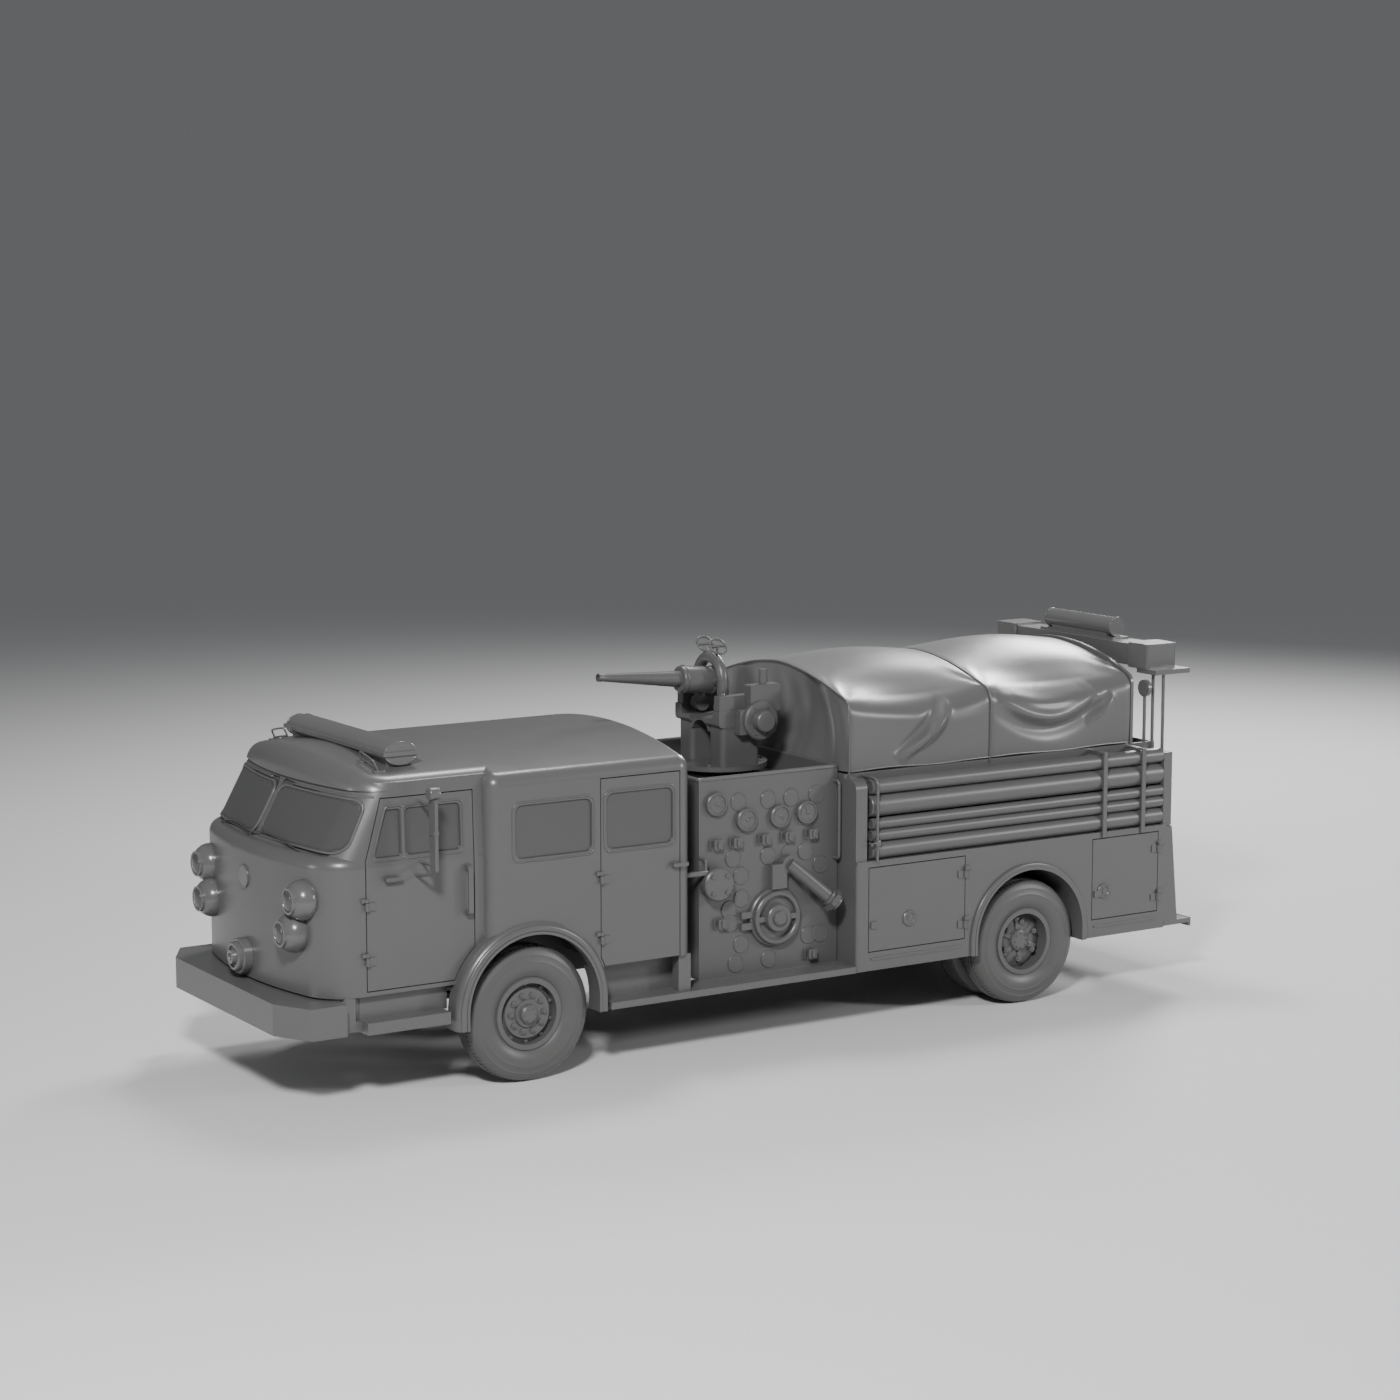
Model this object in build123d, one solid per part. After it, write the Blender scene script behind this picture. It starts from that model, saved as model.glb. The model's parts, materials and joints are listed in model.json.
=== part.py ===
# Fire engine: custom-cab pumper with a deck gun and a covered hose bed.
# Millimetres. X forward, Y to the vehicle's left, Z up; the origin lies on the
# ground under the middle of the overall length.
import math
import os
from collections import namedtuple

from build123d import *

# Driving lengths; the overall length is their sum
FRONT_OVERHANG = 2000.0
WHEELBASE = 4725.0
REAR_OVERHANG = 1775.0
LENGTH = FRONT_OVERHANG + WHEELBASE + REAR_OVERHANG
FRONT_X = LENGTH / 2
REAR_X = -LENGTH / 2
FRONT_AXLE_X = FRONT_X - FRONT_OVERHANG
REAR_AXLE_X = FRONT_AXLE_X - WHEELBASE

# Half width of the rear body; the other half widths step in or out from it
BODY_HALF = 1220.0
CREW_HALF = BODY_HALF - 15
FRONT_HALF = BODY_HALF - 100
ROOF_HALF = FRONT_HALF - 20
ARCH_OUT_Y = BODY_HALF + 25
PANEL_Y = BODY_HALF - 270
LOCKER_Y = BODY_HALF - 580
BED_HALF = BODY_HALF - 190
SPAN = 2 * BODY_HALF

# Fits: running and seated pairs, and the gap round doors and moving pieces
RUN_FIT = 0.3
SEAT = 0.3
CLEAR = 8.0

# Wheels
TYRE_R = 527.0
TYRE_HALF_W = 137.0
RIM_R = 250.0
AXLE_Z = TYRE_R
FRONT_WHEEL_Y = BODY_HALF - 190
KINGPIN_Y = FRONT_WHEEL_Y - 80
TWIN_GAP = 61.0
TWIN_OUTER_Y = BODY_HALF - 170
TWIN_INNER_Y = TWIN_OUTER_Y - 2 * TYRE_HALF_W - TWIN_GAP
TWIN_HUB_Y = (TWIN_OUTER_Y + TWIN_INNER_Y) / 2
TWIN_INSIDE_Y = TWIN_INNER_Y - TYRE_HALF_W

# Ladder frame
RAIL_W = 85.0
RAIL_H = 220.0
RAIL_Y = TWIN_INSIDE_Y - 156
RAIL_Z0 = AXLE_Z + 113
RAIL_Z1 = RAIL_Z0 + RAIL_H
RAIL_BACK_X = REAR_X + 260
RAIL_FRONT_X = FRONT_X - 460
FRAME_GAP_Y = RAIL_Y + RAIL_W / 2 + 55

# Cab: lengths from the front end and the front axle, heights from the roof
WALL = 45.0
NOSE_X = FRONT_X - 190
NOSE_R = 3574.0
CORNER_R = 330.0
CAB_Z0 = RAIL_Z1 - 30
ROOF_Z = 2545.0
COWL_Z = ROOF_Z - 665
COWL_R = 100.0
GLASS_FOOT_Z = COWL_Z - 160
GLASS_SLOPE = 0.5576
GLASS_BASE_X = FRONT_X - 298
GLASS_BASE_Z = COWL_Z + 23
LIP_Z = ROOF_Z - 207
LIP_X = FRONT_X - 515
ROOF_SPLIT_Z = ROOF_Z - 253
CROWN_R = 4500.0
CREW_X0 = FRONT_AXLE_X - 1425
CREW_X1 = FRONT_AXLE_X + 370
CREW_CORNER_R = 115.0
CREW_EDGE_R = 110.0
ROOF_EDGE_R = 150.0
FLOOR_T = 40.0

# Wheel arches
ARCH_Z = AXLE_Z + 73
ARCH_R = TYRE_R + 33
ARCH_LIP_R = ARCH_R + 100
ARCH_FOOT_Z = ARCH_Z - 110
REAR_ARCH_R = TYRE_R + 25
REAR_ARCH_LIP_R = REAR_ARCH_R + 60
WELL_HALF_L = ARCH_R + 90
WELL_Y = FRONT_WHEEL_Y - 455
WELL_Z = ARCH_Z + ARCH_R + 20

# Bumper
BUMPER_Z1 = RAIL_Z1 - 46
BUMPER_Z0 = BUMPER_Z1 - 237

# Pump house behind the cab
PUMP_L = 1325.0
PUMP_X1 = CREW_X0 - 215
PUMP_X0 = PUMP_X1 - PUMP_L
PUMP_X = PUMP_X0 + 715
PANEL_T = 12.0
PUMP_Z0 = 540.0
PUMP_Z1 = 2145.0
DECK_Z = 1990.0

# Rear body
BODY_X1 = PUMP_X0 - 5
BODY_X0 = REAR_X + 290
LOCKER_Z0 = 490.0
LOCKER_Z1 = 1370.0
LOCKER_WALL = 30.0
TAIL_Z1 = 540.0
BED_Z1 = 2085.0

# Deck gun
GUN_X = PUMP_X - 180
TRUNNION_X = GUN_X + 70
TRUNNION_Z = 2570.0
GUN_TILT = 5.0

PARTS = {}


def keep(name, *solids):
    PARTS[name] = solids


def block(x0, x1, y0, y1, z0, z1):
    return Pos((x0 + x1) / 2, (y0 + y1) / 2, (z0 + z1) / 2) * Box(
        abs(x1 - x0), abs(y1 - y0), abs(z1 - z0))


def along_x(sketch, x0, x1):
    return extrude(Plane.YZ.offset(x0) * sketch, amount=x1 - x0)


def along_y(sketch, y0, y1):
    return extrude(Plane.XZ.offset(-y1) * sketch, amount=y1 - y0)


def along_z(sketch, z0, z1):
    return extrude(Plane.XY.offset(z0) * sketch, amount=z1 - z0)


def outline(*points):
    return make_face(Polyline(*points, close=True))


def disc_y(x, z, r, y0, y1):
    return along_y(Pos(x, z) * Circle(r), y0, y1)


def ring_y(x, z, r0, r1, y0, y1):
    return along_y(Pos(x, z) * (Circle(r1) - Circle(r0)), y0, y1)


def disc_x(y, z, r, x0, x1):
    return along_x(Pos(y, z) * Circle(r), x0, x1)


def disc_z(x, y, r, z0, z1):
    return along_z(Pos(x, y) * Circle(r), z0, z1)


# A profile of (radius, distance along Y) points turned about a crosswise axis
def turned_y(x, y, z, *profile):
    return Pos(x, y, z) * revolve(outline(*profile), Axis.Y)


def rod(p, q, r):
    line = Vector(*q) - Vector(*p)
    return extrude(Plane(origin=p, z_dir=line) * Circle(r), amount=line.length)


def bent_rod(points, r, bend):
    path = FilletPolyline(*points, radius=bend)
    return sweep(Plane(origin=path @ 0, z_dir=path % 0) * Circle(r), path=path)


def right(solid):
    return mirror(solid, about=Plane.XZ)


def both(solid):
    return solid, right(solid)


def only(shape):
    found = sorted(shape.solids(), key=lambda s: s.volume)
    return found[-1]


# Tyres: one round section turned about the axle, beads seated on the rim
BEAD = 100.0


def tyre(y):
    heel, side, shoulder = RIM_R + 35, (RIM_R + TYRE_R) / 2, TYRE_R - 45
    wall = ThreePointArc((heel, BEAD), (side, TYRE_HALF_W - 2), (shoulder, TYRE_HALF_W - 15))
    tread = TYRE_HALF_W - 60
    edge = ThreePointArc((shoulder, TYRE_HALF_W - 15), (TYRE_R - 14, TYRE_HALF_W - 36), (TYRE_R - 5, tread))
    seat_r = RIM_R + SEAT
    half = [Line((seat_r, 0), (seat_r, BEAD)), Line((seat_r, BEAD), (heel, BEAD)), wall, edge]
    crown = ThreePointArc((TYRE_R - 5, tread), (TYRE_R, 0), (TYRE_R - 5, -tread))
    section = make_face([*half, crown, *[mirror(e, about=Plane.XZ) for e in half]])
    return Pos(0, y, AXLE_Z) * revolve(section, Axis.Y)


def rim(y):
    barrel = ring_y(0, AXLE_Z, RIM_R - 12, RIM_R, y - BEAD - 12, y + BEAD + 12)
    for side in (-1, 1):
        a, b = sorted((y + side * (BEAD + SEAT), y + side * (BEAD + 12)))
        barrel += ring_y(0, AXLE_Z, RIM_R - 12, RIM_R + 26, a, b)
    return barrel


SPINDLE_R = 42.0
STUD_RING_R = 143.0
studs = [(STUD_RING_R * math.cos(a), AXLE_Z + STUD_RING_R * math.sin(a))
         for a in (2 * math.pi * i / 10 for i in range(10))]

y = FRONT_WHEEL_Y
disc_r = RIM_R - 6
front_wheel = rim(y) + turned_y(
    0, y, AXLE_Z, (0, -4), (105, -4), (105, 44), (180, 44), (disc_r, 20), (disc_r, 36), (204, 60), (190, 80),
    (112, 80), (104, 96), (76, 96), (72, 122), (58, 132), (0, 132))
front_wheel += ring_y(0, AXLE_Z, 186, 204, y - 40, y + 48)
front_wheel -= disc_y(0, AXLE_Z, SPINDLE_R + RUN_FIT, y - 30, y + 70)
for sx, sz in studs:
    front_wheel += disc_y(sx, sz, 13, y + 76, y + 100)
front_tyre = tyre(y)

rear_wheel = rim(TWIN_OUTER_Y) + rim(TWIN_INNER_Y)
rear_wheel += ring_y(0, AXLE_Z, RIM_R - 12, RIM_R, TWIN_INNER_Y + BEAD, TWIN_OUTER_Y - BEAD)
hub_out = TWIN_OUTER_Y - TWIN_HUB_Y
rear_wheel += turned_y(
    0, TWIN_HUB_Y, AXLE_Z, (0, -90), (118, -90), (118, -20), (178, -20), (disc_r, -14), (disc_r, 14),
    (186, 26), (118, 26), (110, hub_out + 20), (94, hub_out + 24), (88, hub_out + 56), (70, hub_out + 66),
    (0, hub_out + 66))
rear_wheel += ring_y(0, AXLE_Z, 190, 206, TWIN_INNER_Y - 70, TWIN_HUB_Y)
HUB_BORE = 75.0
rear_wheel -= disc_y(0, AXLE_Z, HUB_BORE + RUN_FIT, TWIN_HUB_Y - 100, TWIN_HUB_Y + 30)
for sx, sz in studs:
    rear_wheel += disc_y(sx, sz, 13, TWIN_HUB_Y + 20, TWIN_HUB_Y + 50)
rear_tyres = [tyre(TWIN_OUTER_Y), tyre(TWIN_INNER_Y)]

at_front = Pos(FRONT_AXLE_X, 0, 0)
at_rear = Pos(REAR_AXLE_X, 0, 0)
for side, turn in (("left", lambda s: s), ("right", right)):
    keep(f"front_wheel_{side}", turn(at_front * front_wheel))
    keep(f"front_tyre_{side}", turn(at_front * front_tyre))
    keep(f"rear_wheel_{side}", turn(at_rear * rear_wheel))
    keep(f"rear_tyres_{side}", *[turn(at_rear * t) for t in rear_tyres])

# Front axle beam with its kingpins, and the steering knuckles
KINGPIN_R = 22.0
EYE_H = 50.0
SPRING_SEAT_Z = AXLE_Z - 7
beam_half = KINGPIN_Y - 250
axle = block(-50, 50, -beam_half, beam_half, SPRING_SEAT_Z - 100, SPRING_SEAT_Z)
for s in (-1, 1):
    axle += block(-40, 40, s * (beam_half - 20), s * (KINGPIN_Y - 20), AXLE_Z - EYE_H, AXLE_Z + EYE_H)
    axle += disc_z(0, s * KINGPIN_Y, 44, AXLE_Z - EYE_H, AXLE_Z + EYE_H)
    axle += disc_z(0, s * KINGPIN_Y, KINGPIN_R, AXLE_Z - 108, AXLE_Z + 108)
keep("front_axle", at_front * axle)

ear_z = EYE_H + 5
knuckle = block(-45, 45, KINGPIN_Y + 50, KINGPIN_Y + 68, AXLE_Z - 105, AXLE_Z + 105)
for z0, z1 in ((ear_z, 105), (-105, -ear_z)):
    knuckle += disc_z(0, KINGPIN_Y, 42, AXLE_Z + z0, AXLE_Z + z1)
    knuckle += block(-42, 42, KINGPIN_Y, KINGPIN_Y + 60, AXLE_Z + z0, AXLE_Z + z1)
knuckle -= disc_z(0, KINGPIN_Y, KINGPIN_R + RUN_FIT, AXLE_Z - 120, AXLE_Z + 120)
knuckle += disc_y(0, AXLE_Z, SPINDLE_R, KINGPIN_Y + 60, FRONT_WHEEL_Y + 60)
keep("knuckle_left", at_front * knuckle)
keep("knuckle_right", right(at_front * knuckle))

# Rear axle: housing with its round bowl and spring pads
PAD_Z = AXLE_Z + 93
SPRING_Y0, SPRING_Y1 = RAIL_Y + RAIL_W / 2 + 15, TWIN_INSIDE_Y - 18
rear_axle = disc_y(0, AXLE_Z, HUB_BORE, -TWIN_HUB_Y, TWIN_HUB_Y)
rear_axle += disc_x(0, AXLE_Z, 195, -150, 130) + disc_x(0, AXLE_Z, 120, 120, 190)
for s in (-1, 1):
    rear_axle += block(-80, 80, s * SPRING_Y0, s * SPRING_Y1, AXLE_Z, PAD_Z)
keep("rear_axle", at_rear * rear_axle)


# Leaf springs: one curved pack each, ends up at the frame
def spring(half, seat_z, end_z, thick, y0, y1):
    low = ThreePointArc((-half, end_z - 30), (0, seat_z + 8), (half, end_z - 30))
    high = ThreePointArc((half, end_z), (0, seat_z + thick), (-half, end_z))
    face = make_face([low, Line(low @ 1, high @ 0), high, Line(high @ 1, low @ 0)])
    return along_y(face, y0, y1) + block(-70, 70, y0, y1, seat_z, seat_z + thick - 10)


front_spring = at_front * spring(640, SPRING_SEAT_Z, RAIL_Z0, 60, RAIL_Y - 36, RAIL_Y + 36)
rear_spring = spring(680, PAD_Z, RAIL_Z1 - 110, 75, SPRING_Y0, SPRING_Y1)
for s in (-1, 1):
    rear_spring += block(s * 640, s * 690, RAIL_Y + RAIL_W / 2, SPRING_Y1, RAIL_Z1 - 160, RAIL_Z1 - 80)
keep("leaf_springs", *both(front_spring), *both(at_rear * rear_spring))

# Ladder frame: channel rails, cross members, bumper arms
Cross = namedtuple("Cross", "x half")
CROSSES = [Cross(RAIL_FRONT_X - 90, 60), Cross(CREW_X0 + 225, 60), Cross(BODY_X1 - 180, 60),
           Cross(REAR_AXLE_X + 775, 50), Cross(REAR_AXLE_X - 775, 50), Cross(RAIL_BACK_X + 90, 60)]
rail_y0, rail_y1 = RAIL_Y - RAIL_W / 2, RAIL_Y + RAIL_W / 2
frame = None
for s in (-1, 1):
    rail = block(RAIL_BACK_X, RAIL_FRONT_X, s * rail_y0, s * rail_y1, RAIL_Z0, RAIL_Z1)
    rail -= block(RAIL_BACK_X, RAIL_FRONT_X, s * (rail_y0 - 1), s * (rail_y1 - 10),
                  RAIL_Z0 + 12, RAIL_Z1 - 12)
    rail += block(RAIL_FRONT_X - 30, FRONT_X - 30, s * rail_y0, s * rail_y1, RAIL_Z0, BUMPER_Z1 - 12)
    frame = rail if frame is None else frame + rail
for c in CROSSES:
    frame += block(c.x - c.half, c.x + c.half, -rail_y1 + 5, rail_y1 - 5, RAIL_Z1 - 110, RAIL_Z1 - 30)
keep("chassis_frame", frame)

# Towing eyes, front and rear, welded to the rail ends
EYE_BORE = 25.0
EYE_T = 26.0


def tow_eye(x0, x1, z0, z1, bx, bz):
    plate = block(x0, x1, RAIL_Y - EYE_T / 2, RAIL_Y + EYE_T / 2, z0, z1)
    return plate - disc_y(bx, bz, EYE_BORE, RAIL_Y - 40, RAIL_Y + 40)


front_eye_z = BUMPER_Z0 - 37
front_eye = tow_eye(FRONT_X - 330, FRONT_X - 200, front_eye_z - 55, RAIL_Z0, FRONT_X - 265, front_eye_z)
rear_eye = tow_eye(REAR_X + 35, RAIL_BACK_X, RAIL_Z0 - 30, RAIL_Z0 + 70, REAR_X + 90, RAIL_Z0 + 20)
keep("tow_eyes", *both(front_eye), *both(rear_eye))

# Engine with gearbox as one plain block, pump block, shafts, water tank
GEARBOX_X, SHAFT_Z = FRONT_AXLE_X - 990, AXLE_Z + 163
BETWEEN_RAILS = RAIL_Y - RAIL_W / 2 - 70
ENGINE_HALF_L, ENGINE_Z1 = 530.0, 1400.0
engine = block(FRONT_AXLE_X - ENGINE_HALF_L, FRONT_AXLE_X + ENGINE_HALF_L, -BETWEEN_RAILS, BETWEEN_RAILS,
               SPRING_SEAT_Z + 80, ENGINE_Z1)
engine += disc_x(0, SHAFT_Z, 150, GEARBOX_X, FRONT_AXLE_X - ENGINE_HALF_L + 10)
keep("engine", engine)
SUCTION_X, SUCTION_Z = PUMP_X - 96, 978.0
SUCTION_TUBE_R = 100.0
PUMP_HALF_L = 330.0
pump = block(PUMP_X - PUMP_HALF_L, PUMP_X + PUMP_HALF_L, -BETWEEN_RAILS, BETWEEN_RAILS, RAIL_Z0, 1120)
pump += disc_y(SUCTION_X, SUCTION_Z, SUCTION_TUBE_R, -(PANEL_Y - PANEL_T), PANEL_Y - PANEL_T)
keep("fire_pump", pump)
shaft_front = rod((PUMP_X + PUMP_HALF_L, 0, SHAFT_Z), (GEARBOX_X, 0, SHAFT_Z), 48)
shaft_rear = rod((PUMP_X, 0, SHAFT_Z + 28), (REAR_AXLE_X, 0, AXLE_Z), 48)
shaft_rear &= block(REAR_AXLE_X + 190, PUMP_X - PUMP_HALF_L, -90, 90, 0, RAIL_Z1)
keep("drive_shafts", shaft_front, shaft_rear)
TANK_HALF = TWIN_INSIDE_Y - 38
keep("water_tank", block(BODY_X0 + 310, BODY_X1 - 230, -TANK_HALF, TANK_HALF, RAIL_Z1, LOCKER_Z1))


# Cab outer form; the same form set in by a distance gives the inside and the glass
def nose_plan(half, front, inset, radius):
    big = NOSE_R - inset
    side = front - (big - math.sqrt(big * big - half * half))
    back = CREW_X1 - 150
    bow = ThreePointArc((side, -half), (front, 0), (side, half))
    face = make_face([bow, Line((side, half), (back, half)), Line((back, half), (back, -half)),
                      Line((back, -half), (side, -half))])
    return fillet([v for v in face.vertices() if v.X > back + 50], radius)


def top_edges(solid, z, x_min):
    return [e for e in solid.edges() if e.bounding_box().min.Z > z and e.center().X > x_min]


def windshield_x(z):
    return GLASS_BASE_X - GLASS_SLOPE * (z - GLASS_BASE_Z)


def cab_form(inset):
    low_z = CAB_Z0 if inset == 0 else CAB_Z0 - 60
    glass_in = inset * math.sqrt(1 + GLASS_SLOPE ** 2)
    crown = disc_x(0, ROOF_Z - CROWN_R, CROWN_R - inset, CREW_X0 - 300, FRONT_X + 300)
    above = ROOF_Z + 155
    lower = along_z(nose_plan(FRONT_HALF - inset, NOSE_X - inset, inset, CORNER_R - inset),
                    low_z, COWL_Z - inset)
    lower = fillet(top_edges(lower, COWL_Z - inset - 1, CREW_X1 - 100), COWL_R - inset / 2)
    foot = nose_plan(FRONT_HALF - inset, windshield_x(GLASS_FOOT_Z) - glass_in, inset, CORNER_R - inset)
    head_z = LIP_Z + 60
    head = nose_plan(ROOF_HALF - 6 - inset, windshield_x(head_z) - glass_in, inset, CORNER_R - 30 - inset)
    house = loft([Pos(0, 0, GLASS_FOOT_Z) * foot, Pos(0, 0, head_z) * head], ruled=True)
    roof = along_z(nose_plan(ROOF_HALF - inset, LIP_X - inset, inset, CORNER_R - 30 - inset),
                   LIP_Z - 188, above) & crown
    roof = fillet(top_edges(roof, ROOF_SPLIT_Z - 2, CREW_X1 - 100), ROOF_EDGE_R - inset)
    roof -= block(CREW_X0, FRONT_X + 300, -SPAN, SPAN, LIP_Z - 400, LIP_Z + inset)
    crew = along_z(Pos((CREW_X0 + CREW_X1) / 2, 0) * RectangleRounded(
        CREW_X1 - CREW_X0 - 2 * inset, 2 * (CREW_HALF - inset), CREW_CORNER_R - inset), low_z, above) & crown
    crew = fillet(top_edges(crew, ROOF_SPLIT_Z - 2, CREW_X0 - 300), CREW_EDGE_R - inset)
    return lower + house + roof + crew


cab_outer = cab_form(0)
cab_inner = cab_form(WALL)
shell = cab_outer - cab_inner
pane_layer = cab_form(16) - cab_form(26)

# Door and window outlines in side view
DOOR_FRONT_X, DOOR_BACK_X = FRONT_X - 663, FRONT_AXLE_X + 450
CREW_DOOR_X1, CREW_DOOR_X0 = FRONT_AXLE_X - 602, FRONT_AXLE_X - 1302
NOSE_SPLIT_X = (DOOR_FRONT_X + DOOR_BACK_X) / 2
DOOR_Z0, DOOR_Z1 = CAB_Z0 + 38, ROOF_SPLIT_Z - CLEAR
SILL_Z, HEAD_Z = COWL_Z - 30, ROOF_SPLIT_Z - 87
arch_zone = Pos(FRONT_AXLE_X, ARCH_Z) * Circle(ARCH_LIP_R + 15)
front_door_face = outline((DOOR_FRONT_X, DOOR_Z0), (DOOR_FRONT_X, COWL_Z - 50), (DOOR_FRONT_X - 145, DOOR_Z1),
                          (DOOR_BACK_X, DOOR_Z1), (DOOR_BACK_X, DOOR_Z0)) - arch_zone
crew_door_face = outline((CREW_DOOR_X1, CAB_Z0 + 6), (CREW_DOOR_X1, DOOR_Z1),
                         (CREW_DOOR_X0, DOOR_Z1), (CREW_DOOR_X0, CAB_Z0 + 6)) - arch_zone


def pane(corner_r, *corners):
    return fillet(outline(*corners).vertices(), corner_r)


def square_pane(x0, x1, z0, z1, corner_r):
    return pane(corner_r, (x0, z0), (x0, z1), (x1, z1), (x1, z0))


vent_x = DOOR_FRONT_X - 292
vent_face = pane(25, (DOOR_FRONT_X - 67, SILL_Z), (DOOR_FRONT_X - 175, HEAD_Z), (vent_x, HEAD_Z),
                 (vent_x, SILL_Z))
front_pane_face = square_pane(DOOR_BACK_X + 100, vent_x - 33, SILL_Z, HEAD_Z, 40)
crew_pane_face = square_pane(CREW_DOOR_X0 + 57, CREW_DOOR_X1 - 48, COWL_Z - 145, HEAD_Z - 35, 60)
fixed_pane_face = square_pane(CREW_DOOR_X1 + 79, CREW_X1 - 228, COWL_Z - 140, HEAD_Z - 55, 60)
windshield_face = pane(45, (24, GLASS_BASE_Z + 9), (24, LIP_Z - 20), (FRONT_HALF - 158, LIP_Z - 72),
                       (FRONT_HALF - 128, GLASS_BASE_Z - 31))

SIDE_Y0, SIDE_Y1 = FRONT_HALF - 270, ARCH_OUT_Y + 55
arch_face = Pos(FRONT_AXLE_X, ARCH_Z) * Circle(ARCH_R)
arch_face += outline((FRONT_AXLE_X - ARCH_R, ARCH_Z), (FRONT_AXLE_X + ARCH_R, ARCH_Z),
                     (FRONT_AXLE_X + ARCH_R, 0), (FRONT_AXLE_X - ARCH_R, 0))
cuts = [along_y(arch_face, SIDE_Y0, SIDE_Y1)]
for face in (front_door_face, crew_door_face):
    cuts.append(along_y(offset(face, CLEAR, kind=Kind.INTERSECTION), SIDE_Y0, SIDE_Y1))
cuts.append(along_y(fixed_pane_face, SIDE_Y0, SIDE_Y1))
windshield_cut = along_x(windshield_face, FRONT_X - 950, FRONT_X)
cuts.append(windshield_cut)
carcass = shell
for cut in cuts:
    carcass = carcass - cut - right(cut)


def zone(x0, x1, z0, z1, y0=-SPAN, y1=SPAN):
    return block(x0, x1, y0, y1, z0, z1)


# Hinges: the door's barrel turns on a pin that the frame side carries
HINGE_PIN_R = 7.0
BARREL_R = 14.0
BARREL_H = 60.0
HINGE_OUT = 16.0


def door_barrel(x, skin_y, z, toward):
    ax_y = skin_y + HINGE_OUT
    arm = block(x, x + toward * 75, skin_y, skin_y + 10, z, z + BARREL_H)
    arm += block(x, x + toward * 20, skin_y, ax_y + 6, z, z + BARREL_H)
    arm += disc_z(x, ax_y, BARREL_R, z, z + BARREL_H)
    return arm - disc_z(x, ax_y, HINGE_PIN_R + RUN_FIT, z - 5, z + BARREL_H + 5)


def frame_pin(x, skin_y, z, toward):
    ax_y = skin_y + HINGE_OUT
    pin = disc_z(x, ax_y, HINGE_PIN_R, z + 2, z + BARREL_H + 30)
    pin += disc_z(x, ax_y, BARREL_R, z + BARREL_H + 6, z + BARREL_H + 34)
    pin += block(x, x - toward * 45, skin_y, ax_y + 4, z + BARREL_H + 6, z + BARREL_H + 34)
    return pin


FRONT_HINGE_X = DOOR_FRONT_X + CLEAR / 2
CREW_HINGE_X = CREW_DOOR_X1 + CLEAR / 2
FRONT_HINGE_Z = (DOOR_Z0 + 192, COWL_Z - 410)
CREW_HINGE_Z = (CAB_Z0 + 180, COWL_Z - 400)

front_door = only(shell & along_y(front_door_face, SIDE_Y0, SIDE_Y1))
front_door -= along_y(vent_face, SIDE_Y0, SIDE_Y1) + along_y(front_pane_face, SIDE_Y0, SIDE_Y1)
for z in FRONT_HINGE_Z:
    front_door += door_barrel(FRONT_HINGE_X, FRONT_HALF, z, -1)
crew_door = only(shell & along_y(crew_door_face, SIDE_Y0, SIDE_Y1))
crew_door -= along_y(crew_pane_face, SIDE_Y0, SIDE_Y1)
for z in CREW_HINGE_Z:
    crew_door += door_barrel(CREW_HINGE_X, CREW_HALF, z, -1)


def lever(x, skin_y, z):
    return block(x - 20, x + 20, skin_y, skin_y + 30, z - 20, z + 20) + block(
        x - 110, x + 25, skin_y + 28, skin_y + 44, z - 14, z + 14)


# Mirror on two arms, pull handle, levers: all carried by the doors
MIRROR_X = DOOR_FRONT_X - 452
MIRROR_Y0, MIRROR_Y1 = FRONT_HALF + 95, FRONT_HALF + 255
MIRROR_Z0, MIRROR_Z1 = COWL_Z - 135, ROOF_SPLIT_Z - 5
front_door += lever(DOOR_FRONT_X - 167, FRONT_HALF, COWL_Z - 190)
pull_x0, pull_x1 = DOOR_BACK_X + 35, DOOR_BACK_X + 75
pull_z0, pull_z1 = COWL_Z - 534, COWL_Z - 146
pull = block(pull_x0, pull_x1, FRONT_HALF - 5, FRONT_HALF + 62, pull_z0, pull_z1)
pull = fillet(pull.edges().filter_by(Axis.X).group_by(Axis.Y)[-1], 40)
pull -= block(pull_x0 - 5, pull_x1 + 5, FRONT_HALF, FRONT_HALF + 48, pull_z0 + 40, pull_z1 - 40)
front_door += pull
for z in (COWL_Z - 90, ROOF_SPLIT_Z - 52):
    front_door += rod((MIRROR_X, FRONT_HALF - 30, z), (MIRROR_X, MIRROR_Y0 + 20, z), 12)
mirror_head = block(MIRROR_X - 22, MIRROR_X + 22, MIRROR_Y0, MIRROR_Y1, MIRROR_Z0, MIRROR_Z1)
front_door += fillet(mirror_head.edges().filter_by(Axis.X), 30)
crew_door += lever(CREW_DOOR_X0 + 52, CREW_HALF, COWL_Z - 320)
keep("front_door_left", front_door)
keep("front_door_right", right(front_door))
keep("crew_door_left", crew_door)
keep("crew_door_right", right(crew_door))

front_panes = [only(pane_layer & along_y(f, SIDE_Y0, SIDE_Y1)) for f in (vent_face, front_pane_face)]
crew_pane = only(pane_layer & along_y(crew_pane_face, SIDE_Y0, SIDE_Y1))
keep("front_door_glass_left", *front_panes)
keep("front_door_glass_right", *[right(p) for p in front_panes])
keep("crew_door_glass_left", crew_pane)
keep("crew_door_glass_right", right(crew_pane))
fixed_pane = only(pane_layer & along_y(fixed_pane_face, SIDE_Y0, SIDE_Y1))
windshield_pane = only(pane_layer & windshield_cut)
keep("cab_glass", *both(windshield_pane), *both(fixed_pane))

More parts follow.
